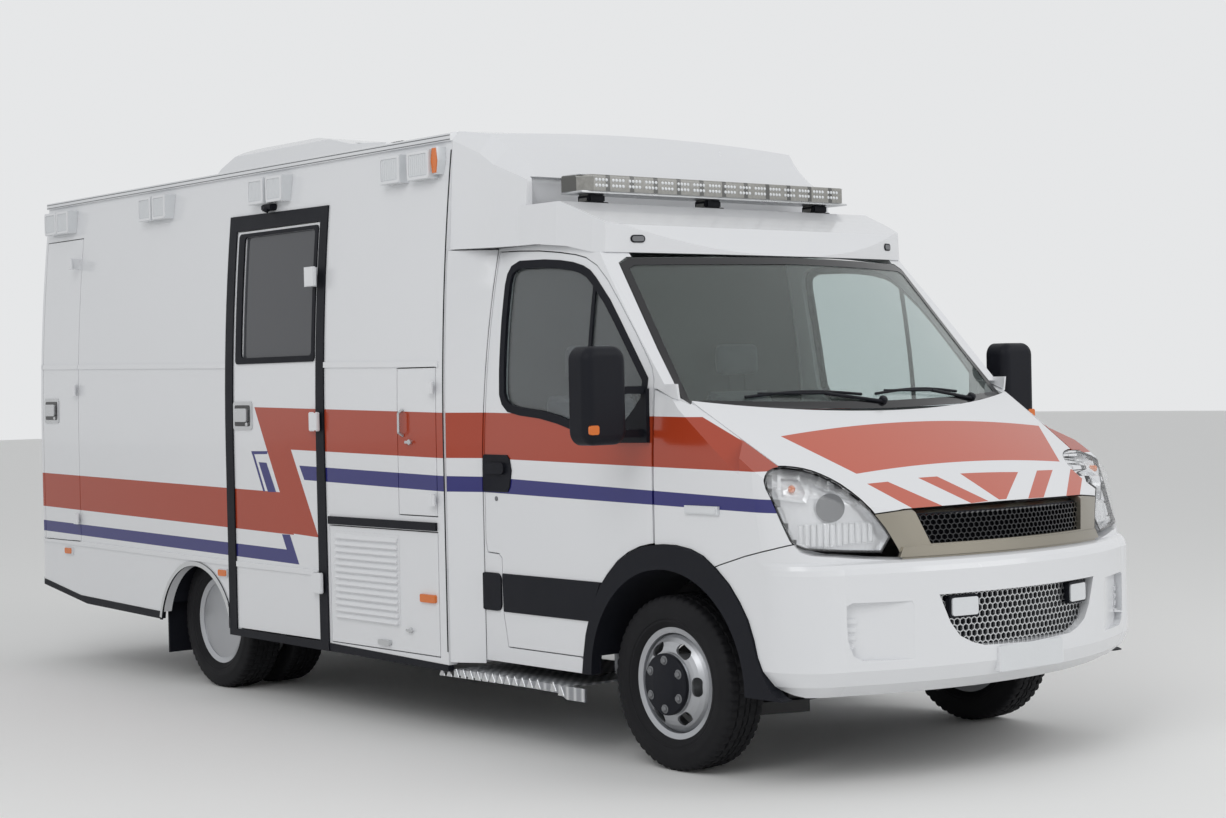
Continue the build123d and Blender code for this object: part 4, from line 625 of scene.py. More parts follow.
def build_rear_hub(side_name, side):
    body = f"rear_wheels_{side_name}"
    with piece_mesh(f"hub_nuts_{side_name}", rim_steel, "rim_grey", body) as bm:
        for k in range(6):
            turn = radians(60 * k)
            at = (REAR_X + 0.085 * cos(turn), side * HUB_FACE_Y, WHEEL_Z + 0.085 * sin(turn))
            add_turned(bm, [(0.016, 0), (0.016, 0.022), (0.012, 0.028), (0, 0.029)], at, (0, side, 0), 6)
        add_turned(bm, [(0.058, 0), (0.058, 0.045), (0.046, 0.058), (0, 0.060)],
                   (REAR_X, side * HUB_FACE_Y, WHEEL_Z),
                   (0, side, 0), 40)
        for reach, inner in ((0.050, 0.186), (0.018, 0.182), (-0.040, 0.178)):
            add_turned(bm, [(0.1945, reach - 0.010), (inner, reach - 0.004), (inner, reach + 0.004),
                            (0.1945, reach + 0.010)],
                       (REAR_X, side * REAR_OUTER_Y, WHEEL_Z), (0, side, 0), 72)


for side_name, side in SIDES.items():
    build_wheels(side_name, side)
    build_front_cap(side_name, side)
    build_rear_hub(side_name, side)

# ------------------------------------------------------------------ headlamps
# Seen from 45 degrees ahead, distance along (1, 1) on plan and z in metres:
# photo points cast onto the nose by a scratch script.
LAMP_OUTLINE = [
    (1.271, 1.155), (1.275, 1.173), (1.285, 1.188), (1.304, 1.197), (1.326, 1.201), (1.349, 1.200),
    (1.386, 1.195), (1.415, 1.189), (1.449, 1.179), (1.479, 1.167), (1.515, 1.150), (1.552, 1.129),
    (1.589, 1.103), (1.625, 1.074), (1.660, 1.040), (1.689, 1.004), (1.715, 0.970), (1.735, 0.936),
    (1.700, 0.880), (1.560, 0.888), (1.420, 0.900), (1.377, 0.917), (1.363, 0.936), (1.346, 0.972),
    (1.328, 1.012), (1.310, 1.056), (1.293, 1.096), (1.278, 1.126)]
DISH_AT = (1.513, 1.050, -0.055)
FLUTES = 12


def add_dish(bm, at, out, r, depth):
    """Round reflector with a bulb cover in its middle."""
    add_turned(bm, [(r, 0), (r + 0.005, depth), (r, depth), (r * 0.75, depth * 0.45),
                    (r * 0.45, depth * 0.25),
                    (r * 0.42, depth * 0.60), (r * 0.30, depth * 0.80), (0, depth * 0.88)], at, out, 40)


def build_headlamps():
    parts = {key: bmesh.new() for key in ("lens", "rim", "bowl", "amber", "dark", "bright")}
    for side in SIDES.values():
        out = Vector((1, side, 0)).normalized()
        place = cast_skin("headlamps", (1, side, 0), (1, -side, 0))
        bright = parts["bright"]
        add_relief(parts["lens"], [moved(LAMP_OUTLINE, -0.004)], place, -0.003, 0.0, step=0.03)
        add_relief(parts["rim"], [LAMP_OUTLINE, moved(LAMP_OUTLINE, -0.008)], place, -0.020, -0.001,
                   step=0.03)
        add_relief(parts["bowl"], [LAMP_OUTLINE], place, -0.060, -0.055, step=0.03)
        add_relief(parts["bowl"], [LAMP_OUTLINE, moved(LAMP_OUTLINE, -0.006)], place, -0.058, -0.004,
                   step=0.03)
        add_dish(bright, place(*DISH_AT), out, 0.046, 0.034)
        add_turned(parts["dark"], [(0.0515, 0.033), (0.0535, 0.033), (0.0535, 0.036), (0.0515, 0.036)],
                   place(*DISH_AT), out, 40)
        add_relief(bright, [[(1.322, 1.085), (1.318, 1.172), (1.400, 1.165), (1.438, 1.110), (1.425, 1.070)],
                            [(1.336, 1.095), (1.332, 1.160), (1.394, 1.154), (1.422, 1.108), (1.412, 1.082)]],
                   place, -0.055, -0.026, soft=0.004)
        add_turned(parts["amber"], [(0.013, 0), (0.014, 0.022), (0.010, 0.030), (0, 0.033)],
                   place(1.372, 1.122, -0.055), out, 24)
        add_relief(bright, [[(1.448, 1.150), (1.590, 1.086), (1.600, 1.070), (1.455, 1.128)]], place,
                   -0.055, -0.030, soft=0.006)
        for k in range(FLUTES):
            s = 1.392 + 0.0235 * k
            foot = 0.905 + 0.006 * abs(k - 4) / 4
            add_relief(bright, [[(s, foot), (s + 0.0215, foot), (s + 0.0215, 0.992), (s, 0.994)]],
                       place, -0.055, -0.036, soft=0.005)
    lens = finish_piece(parts["lens"], "lamp_lenses", clear_lens)
    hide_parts("headlamps")
    finish_piece(parts["rim"], "lamp_rims", gloss_black)
    finish_piece(parts["bowl"], "lamp_bowls", reflector)
    finish_piece(parts["bright"], "lamp_reflectors", reflector)
    finish_piece(parts["dark"], "lamp_rings", trim_metal)
    finish_piece(parts["amber"], "lamp_indicators", amber)


build_headlamps()

# ------------------------------------------------------------------ grille and bumper
GRILLE_MESH = [(-0.500, 1.012), (0.500, 1.012), (0.445, 0.905), (-0.445, 0.905)]
LOWER_MESH = [(0.455, 0.714), (0.409, 0.608), (0.367, 0.554), (0.310, 0.526), (0.252, 0.510), (-0.252, 0.510),
              (-0.310, 0.526), (-0.367, 0.554), (-0.409, 0.608), (-0.455, 0.714)]
GRILLE_LIP = [(-0.590, 0.860), (0.590, 0.860), (0.570, 0.897), (-0.570, 0.897)]
HEX_PITCH = 0.027
HEX_WALL = 0.0022
HEX_ROW = HEX_PITCH * 0.866
HEX_REACH = 24
MESH_TALL = 0.3


def holds(outline, y, z):
    inside_now = False
    for a, b in edges_of(outline):
        if (a[1] > z) != (b[1] > z) and y < (b[0] - a[0]) * (z - a[1]) / (b[1] - a[1]) + a[0]:
            inside_now = not inside_now
    return inside_now


def add_honeycomb(bm, outline, depth, thick, flatten=1.0):
    """Open hexagon cells across the nose inside an outline."""
    rows = int(MESH_TALL / (HEX_ROW * flatten)) + 2
    reach = HEX_PITCH / sqrt(3)
    open_part = 1 - 2 * HEX_WALL / HEX_PITCH
    z_low = min(z for _, z in outline)
    for row in range(rows):
        z = z_low + row * HEX_ROW * flatten
        for k in range(-HEX_REACH, HEX_REACH + 1):
            y = (k + 0.5 * (row % 2)) * HEX_PITCH
            if not holds(outline, y, z):
                continue
            cell = [(y + reach * sin(pi / 3 * n), z + reach * cos(pi / 3 * n) * flatten)
                    for n in range(6)]
            inner = [(y + (a - y) * open_part, z + (b - z) * open_part) for a, b in cell]
            part = bmesh.new()
            rings = [[part.verts.new(nose_skin(a, b, h)) for a, b in ring]
                     for ring, h in ((cell, -depth), (inner, -depth), (inner, -depth - thick),
                                     (cell, -depth - thick))]
            bridge(part, rings, closed=True)
            merge(bm, part)


def build_grille():
    with piece_mesh("grille_cells", gloss_black, "black_plastic", smooth=False) as bm:
        add_honeycomb(bm, GRILLE_MESH, 0.018, 0.014, 0.8)
    with piece_mesh("grille_back", rubber, "black_plastic") as bm:
        add_relief(bm, [moved(GRILLE_MESH, 0.004)], nose_skin, -0.0375, -0.0355)
    with piece_mesh("grille_lip", bronze, "grille_metal") as bm:
        add_relief(bm, [GRILLE_LIP], nose_skin, 0.0, 0.012, step=0.04, soft=0.012)
    with piece_mesh("bumper_cells", mesh_silver, "grille_metal", smooth=False) as bm:
        add_honeycomb(bm, LOWER_MESH, 0.034, 0.010)
    with piece_mesh("bumper_back", rubber, "black_plastic") as bm:
        add_relief(bm, [moved(LOWER_MESH, -0.002)], nose_skin, -0.0495, -0.047)


def build_bumper_fittings():
    glass, dark, plate, vents = bmesh.new(), bmesh.new(), bmesh.new(), bmesh.new()
    face = cast_skin("front_bumper", (1, 0, 0), (0, 1, 0))
    for side in SIDES.values():
        low, high = span(side, 0.275, 0.395)
        add_relief(dark, [rounded(low - 0.008, high + 0.008, 0.622, 0.706, 0.012)], nose_skin, -0.045, -0.012,
                   soft=0.003)
        add_relief(glass, [rounded(low, high, 0.630, 0.698, 0.010)], nose_skin, -0.014, -0.006, soft=0.003)
    add_relief(plate, [rounded(-0.185, 0.185, 0.404, 0.503, 0.008)], end_plane(PLATE_X, 1), 0, 0.0015)
    for side in SIDES.values():
        for k in range(4):
            low, high = span(side, 0.772 - 0.003 * k, 0.806)
            add_relief(vents, [rounded(low, high, 0.534 + 0.030 * k, 0.552 + 0.030 * k, 0.004)], face, -0.001,
                       0.006,
                       soft=0.004)
    finish_piece(vents, "pocket_vents", moulded_white)
    finish_piece(glass, "spot_glass", lens_white)
    finish_piece(dark, "spot_housings", plastic)
    finish_piece(plate, "front_plate", lens_white)


build_grille()
build_bumper_fittings()

# ------------------------------------------------------------------ cab side trim
# Window opening, x and z in metres: photo points cast onto the door by a scratch script.
DOOR_WINDOW = [
    (1.160, 1.490), (1.150, 1.595), (1.138, 1.810), (1.134, 1.961), (1.140, 2.006), (1.160, 2.038),
    (1.212, 2.057), (1.387, 2.053), (1.491, 2.044), (1.581, 2.031), (1.651, 2.013), (1.701, 1.992),
    (1.747, 1.958), (1.853, 1.864), (1.929, 1.780), (2.003, 1.694), (2.074, 1.609), (2.126, 1.545),
    (2.110, 1.330), (1.950, 1.296), (1.720, 1.330), (1.567, 1.369), (1.445, 1.391), (1.306, 1.404),
    (1.221, 1.419), (1.180, 1.450)]
HANDLE_OUTLINE = [(1.051, 1.225), (1.060, 1.233), (1.222, 1.232), (1.240, 1.215), (1.253, 1.167),
                  (1.240, 1.095), (1.224, 1.074), (1.060, 1.073), (1.051, 1.082)]
MIRROR_TRIANGLE = [(2.138, 1.505), (2.150, 1.330), (2.150, 1.292), (1.950, 1.290), (1.990, 1.370)]
DOOR_STRIP = [(1.176, 0.725), (1.841, 0.725), (1.764, 0.562), (1.182, 0.562)]


def build_cab_side(side_name, side):
    body = f"cab_door_{side_name}"
    place = cab_skin(side)
    with piece_mesh(f"door_rubber_{side_name}", rubber, "black_plastic", body) as bm:
        add_relief(bm, [moved(DOOR_WINDOW, 0.004), moved(DOOR_WINDOW, -0.030)], place, -0.012, 0.003,
                   soft=0.003)
        add_relief(bm, [[(1.728, 1.985), (1.748, 1.970), (1.762, 1.340), (1.742, 1.340)]], place, -0.012,
                   -0.004)
        add_relief(bm, [MIRROR_TRIANGLE], place, 0.000, 0.006, soft=0.003)
    with piece_mesh(f"door_handle_{side_name}", plastic, "black_plastic", body) as bm:
        add_relief(bm, [HANDLE_OUTLINE], place, -0.001, 0.006, soft=0.004)
        add_relief(bm, [rounded(1.085, 1.215, 1.150, 1.200, 0.018)], place, 0.004, 0.020, soft=0.006)
    with piece_mesh(f"door_strip_{side_name}", plastic, "black_plastic", body) as bm:
        add_relief(bm, [DOOR_STRIP], place, -0.001, 0.009, soft=0.005)
    with piece_mesh(f"pillar_strip_{side_name}", plastic, "black_plastic") as bm:
        add_relief(bm, [rounded(1.026, 1.168, 0.563, 0.725, 0.030)], place, -0.001, 0.009, soft=0.005)
    with piece_mesh(f"door_lock_{side_name}", trim_metal, "rim_grey", body) as bm:
        add_turned(bm, [(0.010, 0), (0.010, 0.003), (0.008, 0.004), (0, 0.004)], place(1.141, 1.044, 0),
                   (0, side, 0), 24)
    with piece_mesh(f"mirror_glass_{side_name}", chrome, "glass_dark", body) as bm:
        low, high = span(side, 1.140, 1.310)
        add_relief(bm, [rounded(low, high, 1.440, 1.650, 0.040)], end_plane(MIRROR_X, -1), 0, 0.003,
                   soft=0.001)
        add_relief(bm, [rounded(low, high, 1.315, 1.420, 0.030)], end_plane(MIRROR_X, -1), 0, 0.003,
                   soft=0.001)
    with piece_mesh(f"mirror_indicator_{side_name}", amber, "lamp_clear", body) as bm:
        front = cast_skin(f"mirror_{side_name}", (1, 0, 0), (0, 1, 0))(side * 1.285, 1.350, 0).x
        low, high = span(side, 1.274, 1.320)
        add_relief(bm, [rounded(low, high, 1.332, 1.368, 0.010)], end_plane(front, 1), -0.008, 0.003,
                   soft=0.003)


for side_name, side in SIDES.items():
    build_cab_side(side_name, side)

# ------------------------------------------------------------------ windscreen, bonnet and fairing details
SCREEN_EDGE = [(-0.915, 1.425), (-0.500, 1.410), (0.0, 1.403), (0.500, 1.410), (0.915, 1.425), (0.937, 1.440),
               (0.845, 2.015), (0.795, 2.040), (0.0, 2.050), (-0.795, 2.040), (-0.845, 2.015),
               (-0.937, 1.440)]


def build_screen():
    place = cast_skin("windscreen", (1, 0, 0), (0, 1, 0))
    with piece_mesh("screen_surround", gloss_black, "black_plastic") as bm:
        add_relief(bm, [SCREEN_EDGE, moved(SCREEN_EDGE, -0.030)], place, -0.001, 0.003, soft=0.001)
    with piece_mesh("wipers", plastic, "black_plastic") as bm:
        for pivot, tip in ((0.62, 0.02), (-0.02, -0.62)):
            add_rod(bm, [place(pivot, 1.430, 0.010), place((pivot + tip) / 2, 1.470, 0.022)], 0.007)
            add_rod(bm, [place((pivot + tip) / 2, 1.470, 0.022), place(tip, 1.475, 0.014)], 0.005)
            blade = [place(pivot - 0.10 - 0.56 * k / 8, 1.462 + 0.016 * sin(pi * k / 8), 0.009)
                     for k in range(9)]
            add_rod(bm, blade, 0.006, 8)
            add_turned(bm, [(0.018, 0), (0.018, 0.016), (0.012, 0.022), (0, 0.023)], place(pivot, 1.430, 0),
                       (0.5, 0, 0.8), 20)


def build_fairing_details():
    front = cast_skin("cab_fairing", (1, 0, 0), (0, 1, 0))
    with piece_mesh("marker_lenses", trim_metal, "lamp_clear") as bm:
        rim = bmesh.new()
        for side in SIDES.values():
            low, high = span(side, 0.722, 0.772)
            oval = rounded(low, high, 2.109, 2.131, 0.010)
            add_relief(bm, [oval], front, 0.000, 0.006, soft=0.002)
            add_relief(rim, [moved(oval, 0.005), oval], front, -0.002, 0.004, soft=0.001)
    finish_piece(rim, "marker_rims", plastic)


LED_PITCH = 0.0185
LED_COUNT = 80
LED_GROUP = 5
LED_ROWS = (2.365, 2.389)


def build_light_bar_details():
    with piece_mesh("light_bar_base", mesh_silver, "black_plastic") as bm:
        add_box(bm, (1.374, -0.800, 2.334), (1.520, 0.800, 2.3425), 0.003)
    with piece_mesh("light_bar_feet", plastic, "black_plastic") as bm:
        for y in (-0.672, 0.0, 0.672):
            add_box(bm, (1.385, y - 0.062, 2.2935), (1.470, y + 0.062, 2.302), 0.003)
            add_box(bm, (1.385, y - 0.044, 2.300), (1.470, y + 0.044, 2.3345), 0.006)
    with piece_mesh("light_bar_lid", lens_white, "lamp_clear") as bm:
        add_box(bm, (1.385, -0.790, 2.4105), (1.500, 0.790, 2.4145), 0.0015)
    front = cast_skin("light_bar", (1, 0, 0), (0, 1, 0))
    with piece_mesh("light_bar_diodes", lens_white, "lamp_clear") as bm:
        for k in range(LED_COUNT):
            y = (k - (LED_COUNT - 1) / 2) * LED_PITCH
            if k % LED_GROUP == LED_GROUP - 1:
                continue
            for z in LED_ROWS:
                add_turned(bm, [(0.0075, 0), (0.0058, 0.0022), (0, 0.003)], front(y, z, 0), (1, 0, 0), 8)


def build_pillar_feet():
    """White fillets that close the joint between the screen pillars and the bonnet's sides."""
    with piece_mesh("pillar_feet", white, "white_paint") as bm:
        for side in SIDES.values():
            wing = cast_skin("wings", (0, side, 0), (1, 0, 0))
            pillar = cast_skin("cab_sides", (0, side, 0), (1, 0, 0))
            part = bmesh.new()
            rows = []
            for k in range(6):
                x = 2.184 + 0.023 * k
                foot = 1.506 - 0.39 * (x - 2.179)
                side_in = abs(wing(x, foot - 0.012, 0).y)
                top_in = abs(pillar(x, 1.520, 0).y)
                rows.append([part.verts.new((x, side * y, z)) for y, z in
                             ((top_in, 1.520), (side_in, foot), (side_in - 0.010, foot),
                              (top_in - 0.010, 1.520))])
            bridge(part, rows)
            part.faces.new(rows[0])
            part.faces.new(list(reversed(rows[-1])))
            merge(bm, part)


build_screen()
build_fairing_details()
build_light_bar_details()
build_pillar_feet()

# ------------------------------------------------------------------ box side details
DOOR_GLASS = (-0.825, -0.169, 1.690, 2.289)
HINGES = ((2.012, 2.104), (1.332, 1.422), (0.569, 0.667))


def build_side_door():
    place = box_skin(-1)
    x0, x1, z0, z1 = DOOR_GLASS
    with piece_mesh("side_window_rubber", rubber, "black_plastic", "side_door") as bm:
        add_relief(bm, [rounded(x0 - 0.055, x1 + 0.025, z0 - 0.030, z1 + 0.018, 0.02),
                        rounded(x0, x1, z0, z1, 0.02)], place, -0.002, 0.007, soft=0.003)
    with piece_mesh("side_door_hinges", moulded_white, "white_paint", "side_door") as bm:
        for low, high in HINGES:
            add_box(bm, (-0.150, -1.1335, low), (-0.076, -1.1150, high), 0.004)
    build_latch("side_latch", "side_door", -0.812, 1.405, place)


def build_latch(name, body, x, z, place):
    """Paddle latch: a dished plate with a lever and a lock."""
    dark, bright = bmesh.new(), bmesh.new()
    add_relief(bright, [rounded(x - 0.090, x + 0.090, z - 0.070, z + 0.070, 0.014)], place, 0, 0.006,
               soft=0.003)
    add_relief(dark, [rounded(x - 0.072, x + 0.072, z - 0.052, z + 0.052, 0.010)], place, 0.004, 0.008,
               soft=0.002)
    add_relief(bright, [rounded(x - 0.058, x + 0.058, z - 0.030, z + 0.036, 0.008)], place, 0.006, 0.020,
               soft=0.005)
    add_turned(bright, [(0.011, 0), (0.011, 0.005), (0.008, 0.007), (0, 0.007)],
               place(x + 0.046, z - 0.043, 0.006), (0, -1, 0), 24)
    finish_piece(dark, f"{name}_dish", gloss_black, body)
    finish_piece(bright, f"{name}_lever", mesh_silver, body)


def add_lock(bm, place, x, z):
    """Round lock with its cover flap."""
    add_turned(bm, [(0.012, 0), (0.012, 0.010), (0.009, 0.012), (0, 0.012)], place(x, z, 0), (0, -1, 0), 24)
    add_relief(bm, [rounded(x - 0.024, x + 0.024, z - 0.006, z + 0.006, 0.005)], place, 0.010, 0.016,
               soft=0.002)


def build_lockers():
    place = box_skin(-1)
    build_latch("rear_locker_latch", "locker_door_rear", -2.974, 1.436, place)
    with piece_mesh("upper_locker_handle", mesh_silver, "rim_grey", "locker_door_upper") as bm:
        add_rod(bm, [place(0.594, 1.429, 0.004), place(0.594, 1.415, 0.026), place(0.594, 1.329, 0.026),
                     place(0.594, 1.315, 0.004)], 0.007, 12)
        add_lock(bm, place, 0.646, 1.286)
    with piece_mesh("lower_locker_lock", mesh_silver, "rim_grey", "locker_door_lower") as bm:
        add_lock(bm, place, 0.623, 0.449)
        add_relief(bm, [rounded(0.375, 0.467, 0.368, 0.392, 0.008)], place, 0.000, 0.018, soft=0.005)
    with piece_mesh("locker_marker", amber, "lamp_clear", "locker_door_lower") as bm:
        add_relief(bm, [rounded(0.709, 0.825, 0.582, 0.618, 0.008)], place, 0, 0.012, soft=0.004)
    build_louvre(place)


LOUVRE_X = (0.020, 0.530)
LOUVRE_Z = (0.462, 0.861)
SLATS = 13


def build_louvre(place):
    """Pressed slats, each proud at its lower edge, in a raised frame."""
    with piece_mesh("locker_louvre", moulded_white, "white_paint", "locker_door_lower", smooth=False) as bm:
        pitch = (LOUVRE_Z[1] - LOUVRE_Z[0]) / SLATS
        for k in range(SLATS):
            low = LOUVRE_Z[0] + k * pitch
            part = bmesh.new()
            section = [(low + 0.003, 0.0), (low + 0.003, 0.013), (low + 0.007, 0.015),
                       (low + pitch - 0.004, 0.001),
                       (low + pitch - 0.004, 0.0)]
            rows = [[part.verts.new(place(x, z, h)) for z, h in section] for x in LOUVRE_X]
            bridge(part, rows)
            part.faces.new(rows[0])
            part.faces.new(list(reversed(rows[1])))
            merge(bm, part)
    with piece_mesh("louvre_shadow", moulded_white, "white_paint", "locker_door_lower") as bm:
        add_relief(bm, [rounded(LOUVRE_X[0] - 0.010, LOUVRE_X[1] + 0.010, LOUVRE_Z[0] - 0.008,
                                LOUVRE_Z[1] + 0.008, 0.01)],
                   place, 0.0003, 0.0015)


ARCH_X, ARCH_Z, ARCH_OUT, ARCH_IN, ARCH_END_X = -1.330, 0.263, 0.393, 0.371, -0.982


def build_arch_chrome():
    with piece_mesh("arch_chrome", chrome, "rim_grey") as bm:
        for side in SIDES.values():
            arc = [radians(a) for a in range(12, 171, 3)]
            walk = [(ARCH_OUT, a) for a in arc] + [(ARCH_IN, a) for a in reversed(arc)]
            ring = [(min(ARCH_X + r * cos(a), ARCH_END_X), ARCH_Z + r * sin(a)) for r, a in walk]
            add_relief(bm, [ring], side_plane(side, 1.109), -0.002, 0.002, soft=0.001)


SCENE_LAMPS = ((0.428, 0.590), (0.648, 0.818), (-0.743, -0.593), (-0.569, -0.419), (-1.893, -1.750),
               (-1.736, -1.593), (-3.039, -2.890), (-2.887, -2.738))
LENS_RIBS = 9


def build_lamps():
    lens, frame_bm, orange, red = bmesh.new(), bmesh.new(), bmesh.new(), bmesh.new()
    for side in SIDES.values():
        face = side_plane(side, 1.085)
        for x0, x1 in SCENE_LAMPS:
            add_relief(frame_bm, [rounded(x0 + 0.002, x1 - 0.002, 2.443, 2.565, 0.014),
                                  rounded(x0 + 0.014, x1 - 0.014, 2.455, 2.553, 0.010)], face, -0.006, 0.004,
                       soft=0.002)
            width = (x1 - x0 - 0.030) / LENS_RIBS
            for k in range(LENS_RIBS):
                low = x0 + 0.015 + k * width
                add_relief(lens, [[(low + 0.001, 2.457), (low + width - 0.001, 2.457),
                                   (low + width - 0.001, 2.551),
                                   (low + 0.001, 2.551)]], face, -0.004, 0.002, soft=0.0018)
        add_relief(orange, [[(0.828, 2.462), (0.854, 2.462), (0.863, 2.516), (0.854, 2.570), (0.828, 2.570),
                             (0.819, 2.516)]], side_plane(side, 1.072), 0, 0.005, soft=0.003)
        for x, z in ((-2.784, 0.644), (-1.036, 0.614)):
            add_relief(orange, [rounded(x - 0.040, x + 0.040, z - 0.016, z + 0.016, 0.010)],
                       side_plane(side, 1.112), 0, 0.004, soft=0.002)
        add_relief(lens, [rounded(2.372, 2.542, 1.026, 1.050, 0.010)],
                   side_plane(side, 1.010), 0, 0.003, soft=0.002)
        for z, bm in ((1.180, red), (1.070, orange), (0.960, lens)):
            low, high = span(side, 0.772, 0.888)
            add_relief(bm, [rounded(low, high, z - 0.048, z + 0.048, 0.012)], end_plane(REAR_LAMP_X, -1),
                       0, 0.006, soft=0.003)
    finish_piece(lens, "scene_lenses", lens_white)
    finish_piece(frame_bm, "scene_lamp_frames", moulded_white)
    finish_piece(orange, "amber_lenses", amber)
    finish_piece(red, "red_lenses", red_lens)


SLAT_PITCH = 0.022


def build_roof_details():
    with piece_mesh("roof_rail_lines", trim_metal, "black_plastic") as bm:
        for side in SIDES.values():
            low, high = span(side, 1.0300, 1.0325)
            for z in (2.6035, 2.6215):
                add_box(bm, (-3.119, low, z), (0.904, high, z + 0.004), 0)
    with piece_mesh("air_unit_slats", plastic, "black_plastic") as bm:
        for x0, x1 in ((-1.100, -0.748), (-0.665, -0.410)):
            for k in range(int((x1 - x0) / SLAT_PITCH)):
                x = x0 + SLAT_PITCH * k
                add_box(bm, (x, -0.375, 2.7600), (x + 0.012, 0.375, 2.7700), 0.002)
    with piece_mesh("side_camera", plastic, "black_plastic") as bm:
        add_box(bm, (-0.640, -1.075, 2.405), (-0.545, -1.020, 2.437), 0.006)
        add_turned(bm, [(0.016, 0), (0.016, 0.012), (0.011, 0.014), (0, 0.014)], (-0.593, -1.070, 2.413),
                   (0, -0.6, -1), 24)


STEP_TEETH = 17
STEP_X = (0.800, 1.690)


def build_step_teeth():
    """Embossed triangles along the lip of each cab step."""
    with piece_mesh("step_teeth", mesh_silver, "chequer") as bm:
        for side in SIDES.values():
            face = cast_skin("steps", (0, side, 0), (1, 0, 0))
            pitch = (STEP_X[1] - STEP_X[0]) / STEP_TEETH
            for k in range(STEP_TEETH):
                low = STEP_X[0] + k * pitch
                foot = 0.264 + 0.010 * k / STEP_TEETH if low < 1.60 else 0.258
                add_relief(bm, [[(low + 0.004, foot), (low + pitch - 0.004, foot),
                                 (low + pitch / 2, foot + 0.040)]],
                           face, -0.0005, 0.0030, soft=0.002)


def build_edge_strips():
    """Dark seals down the front edges of the box sides."""
    for side_name, side in SIDES.items():
        with piece_mesh(f"edge_seal_{side_name}", rubber, "black_plastic") as bm:
            add_relief(bm, [[(0.8965, 0.375), (0.9040, 0.375), (0.9040, 2.560), (0.8965, 2.560)]],
                       box_skin(side),
                       -0.002, 0.0015, step=0.1)


def build_rear_doors():
    for side_name, side in SIDES.items():
        low, high = span(side, 0.100, 0.570)
        inner = span(side, 0.112, 0.558)
        with piece_mesh(f"rear_window_rubber_{side_name}", rubber, "black_plastic",
                        f"rear_door_{side_name}") as bm:
            add_relief(bm, [rounded(low, high, 1.590, 2.210, 0.03),
                            rounded(inner[0], inner[1], 1.602, 2.198, 0.03)],
                       end_plane(REAR_SKIN_X, -1), -0.002, 0.006, soft=0.002)
    with piece_mesh("rear_handle", plastic, "black_plastic", "rear_door_right") as bm:
        add_relief(bm, [rounded(-0.115, -0.035, 1.220, 1.420, 0.02)], end_plane(REAR_SKIN_X, -1), 0, 0.012,
                   soft=0.004)
        add_relief(bm, [rounded(-0.095, -0.055, 1.260, 1.380, 0.012)], end_plane(REAR_SKIN_X, -1), 0.010,
                   0.028, soft=0.006)


build_side_door()
build_lockers()
build_arch_chrome()
build_lamps()
build_roof_details()
build_edge_strips()
build_step_teeth()
build_rear_doors()

# ------------------------------------------------------------------ seats
SEATS = {"driver": (0.180, 0.660), "passenger": (-0.760, -0.180)}
VOXEL, SWELL_STEPS, SWELL_LIMIT = 0.014, 15, 0.024
SEAMS, SEAM_HALF, SEAM_DEPTH = (0.22, 0.78), 0.012, 0.006


def padded_form(name, low, high, pull, lean=0.0):
    """Cushion: a rounded block blown up as cloth, with its seams drawn in."""
    bm = bmesh.new()
    add_box(bm, low, high, min(0.030, pull))
    bmesh.ops.remove_doubles(bm, verts=bm.verts[:], dist=1e-5)
    piece = new_object(name, mesh_of(bm, name))
    remesh = piece.modifiers.new("remesh", "REMESH")
    remesh.mode = "VOXEL"
    remesh.voxel_size = VOXEL
    apply_modifiers(piece)
    start = [v.co.copy() for v in piece.data.vertices]
    swell = piece.modifiers.new("cloth", "CLOTH")
    swell.settings.use_pressure = True
    swell.settings.uniform_pressure_force = 4
    swell.settings.effector_weights.gravity = 0
    for step in range(1, SWELL_STEPS + 1):
        bpy.context.scene.frame_set(step)
    apply_modifiers(piece)
    width = high[1] - low[1]
    centre = Vector([(low[i] + high[i]) / 2 for i in range(3)])
    for v, old in zip(piece.data.vertices, start):
        move = v.co - old
        if move.length > SWELL_LIMIT:
            v.co = old + move.normalized() * SWELL_LIMIT
        across = (old.y - low[1]) / width
        seam = max(0, *(1 - abs(across - at) / SEAM_HALF for at in SEAMS))
        v.co += (centre - v.co).normalized() * SEAM_DEPTH * seam
        v.co.x += lean * (v.co.z - low[2])
    bpy.context.scene.frame_set(1)
    for face in piece.data.polygons:
        face.use_smooth = True
    piece.data.materials.append(cloth)
    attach(piece, "chassis")
    return piece


def apply_modifiers(piece):
    ready = piece.evaluated_get(bpy.context.evaluated_depsgraph_get())
    mesh = bpy.data.meshes.new_from_object(ready)
    piece.modifiers.clear()
    piece.data = mesh


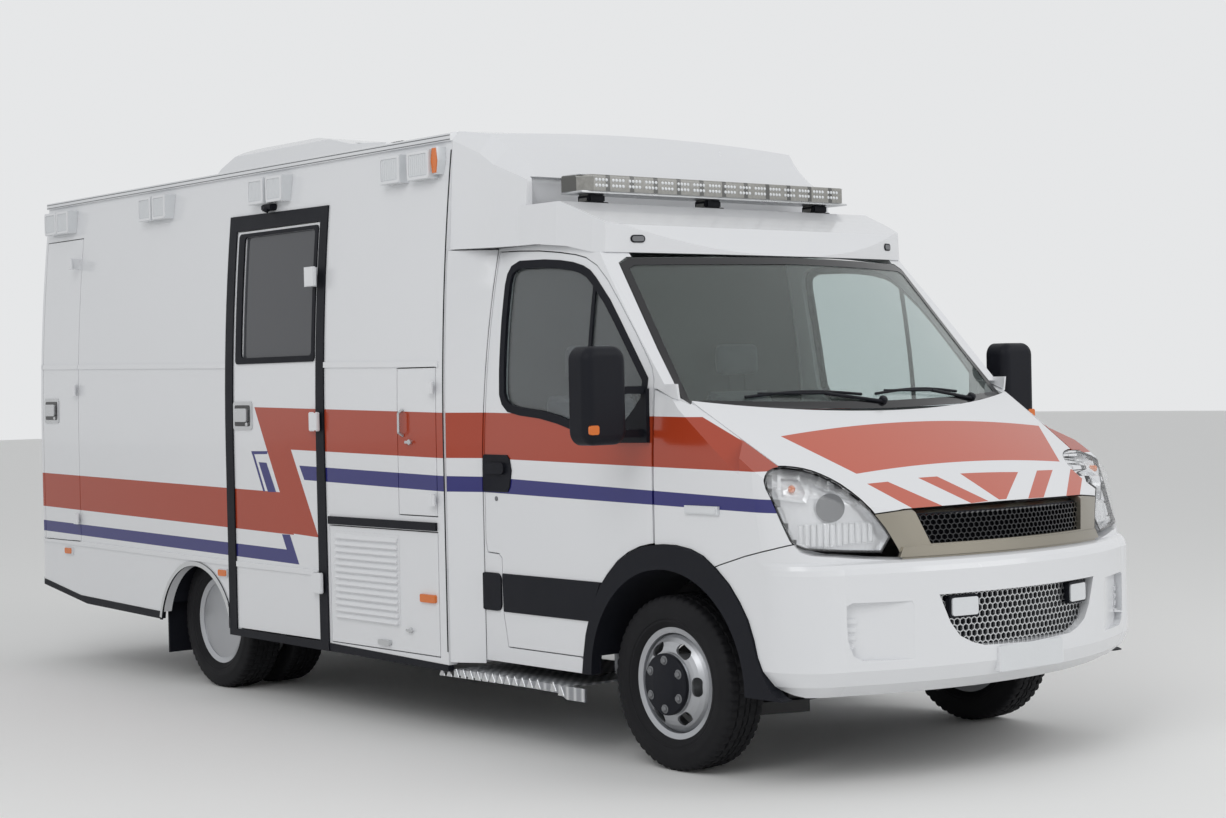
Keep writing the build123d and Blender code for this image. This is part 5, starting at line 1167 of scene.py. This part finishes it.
def build_seats():
    first = None
    for who, (y0, y1) in SEATS.items():
        cushion = padded_form(f"seat_cushion_{who}", (1.215, y0 + 0.02, 0.835), (1.670, y1 - 0.02, 0.920),
                              0.03)
        padded_form(f"seat_back_{who}", (1.185, y0 + 0.02, 0.940), (1.265, y1 - 0.02, 1.500), 0.03,
                    lean=-0.14)
        padded_form(f"head_rest_{who}", (1.115, (y0 + y1) / 2 - 0.13, 1.550),
                    (1.175, (y0 + y1) / 2 + 0.13, 1.700), 0.02)
        first = first or cushion
    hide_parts("seats")
    with piece_mesh("seat_bases", interior, "black_plastic") as bm:
        for y0, y1 in SEATS.values():
            add_box(bm, (1.210, y0 + 0.04, 0.692), (1.590, y1 - 0.04, 0.832), 0.012)
            for offset in (-0.05, 0.05):
                middle = (y0 + y1) / 2 + offset
                add_rod(bm, [(1.150, middle, 1.480), (1.145, middle, 1.570)], 0.006)


build_seats()

# ------------------------------------------------------------------ stage
def plain_floor():
    bpy.ops.mesh.primitive_plane_add(size=120, location=(0, 0, 0))
    floor = bpy.context.object
    floor.name = "floor"
    mat, _, bsdf = new_material("floor")
    set_inputs(bsdf, {"Base Color": (0.90, 0.90, 0.89, 1), "Roughness": 0.75})
    floor.data.materials.append(mat)


def pale_world(strength, seen):
    """Even light at a plain strength, with a paler backdrop where it is looked at."""
    world = bpy.data.worlds.new("world")
    bpy.context.scene.world = world
    world.use_nodes = True
    tree = world.node_tree
    light = add_node(tree, "LightPath")
    rays = math_node(tree, "ADD", light.outputs["Is Camera Ray"], light.outputs["Is Glossy Ray"])
    rays = math_node(tree, "ADD", rays, light.outputs["Is Transmission Ray"])
    background = tree.nodes["Background"]
    background.inputs["Color"].default_value = (0.94, 0.95, 0.96, 1)
    tree.links.new(spread(tree, rays, strength, seen), background.inputs["Strength"])


plain_floor()
pale_world(0.60, 0.84)


def area_lamp(name, at, target, size, watts):
    data = bpy.data.lights.new(name, "AREA")
    data.energy = watts
    data.size = size
    lamp = new_object(name, data)
    lamp.location = at
    lamp.rotation_euler = (Vector(target) - Vector(at)).to_track_quat("-Z", "Y").to_euler()


area_lamp("key", (6, -9, 8), (0, 0, 1.2), 6, 290)
area_lamp("fill", (9, 4, 6), (0, 0, 1.2), 6, 190)
bpy.context.scene.view_settings.view_transform = "Standard"
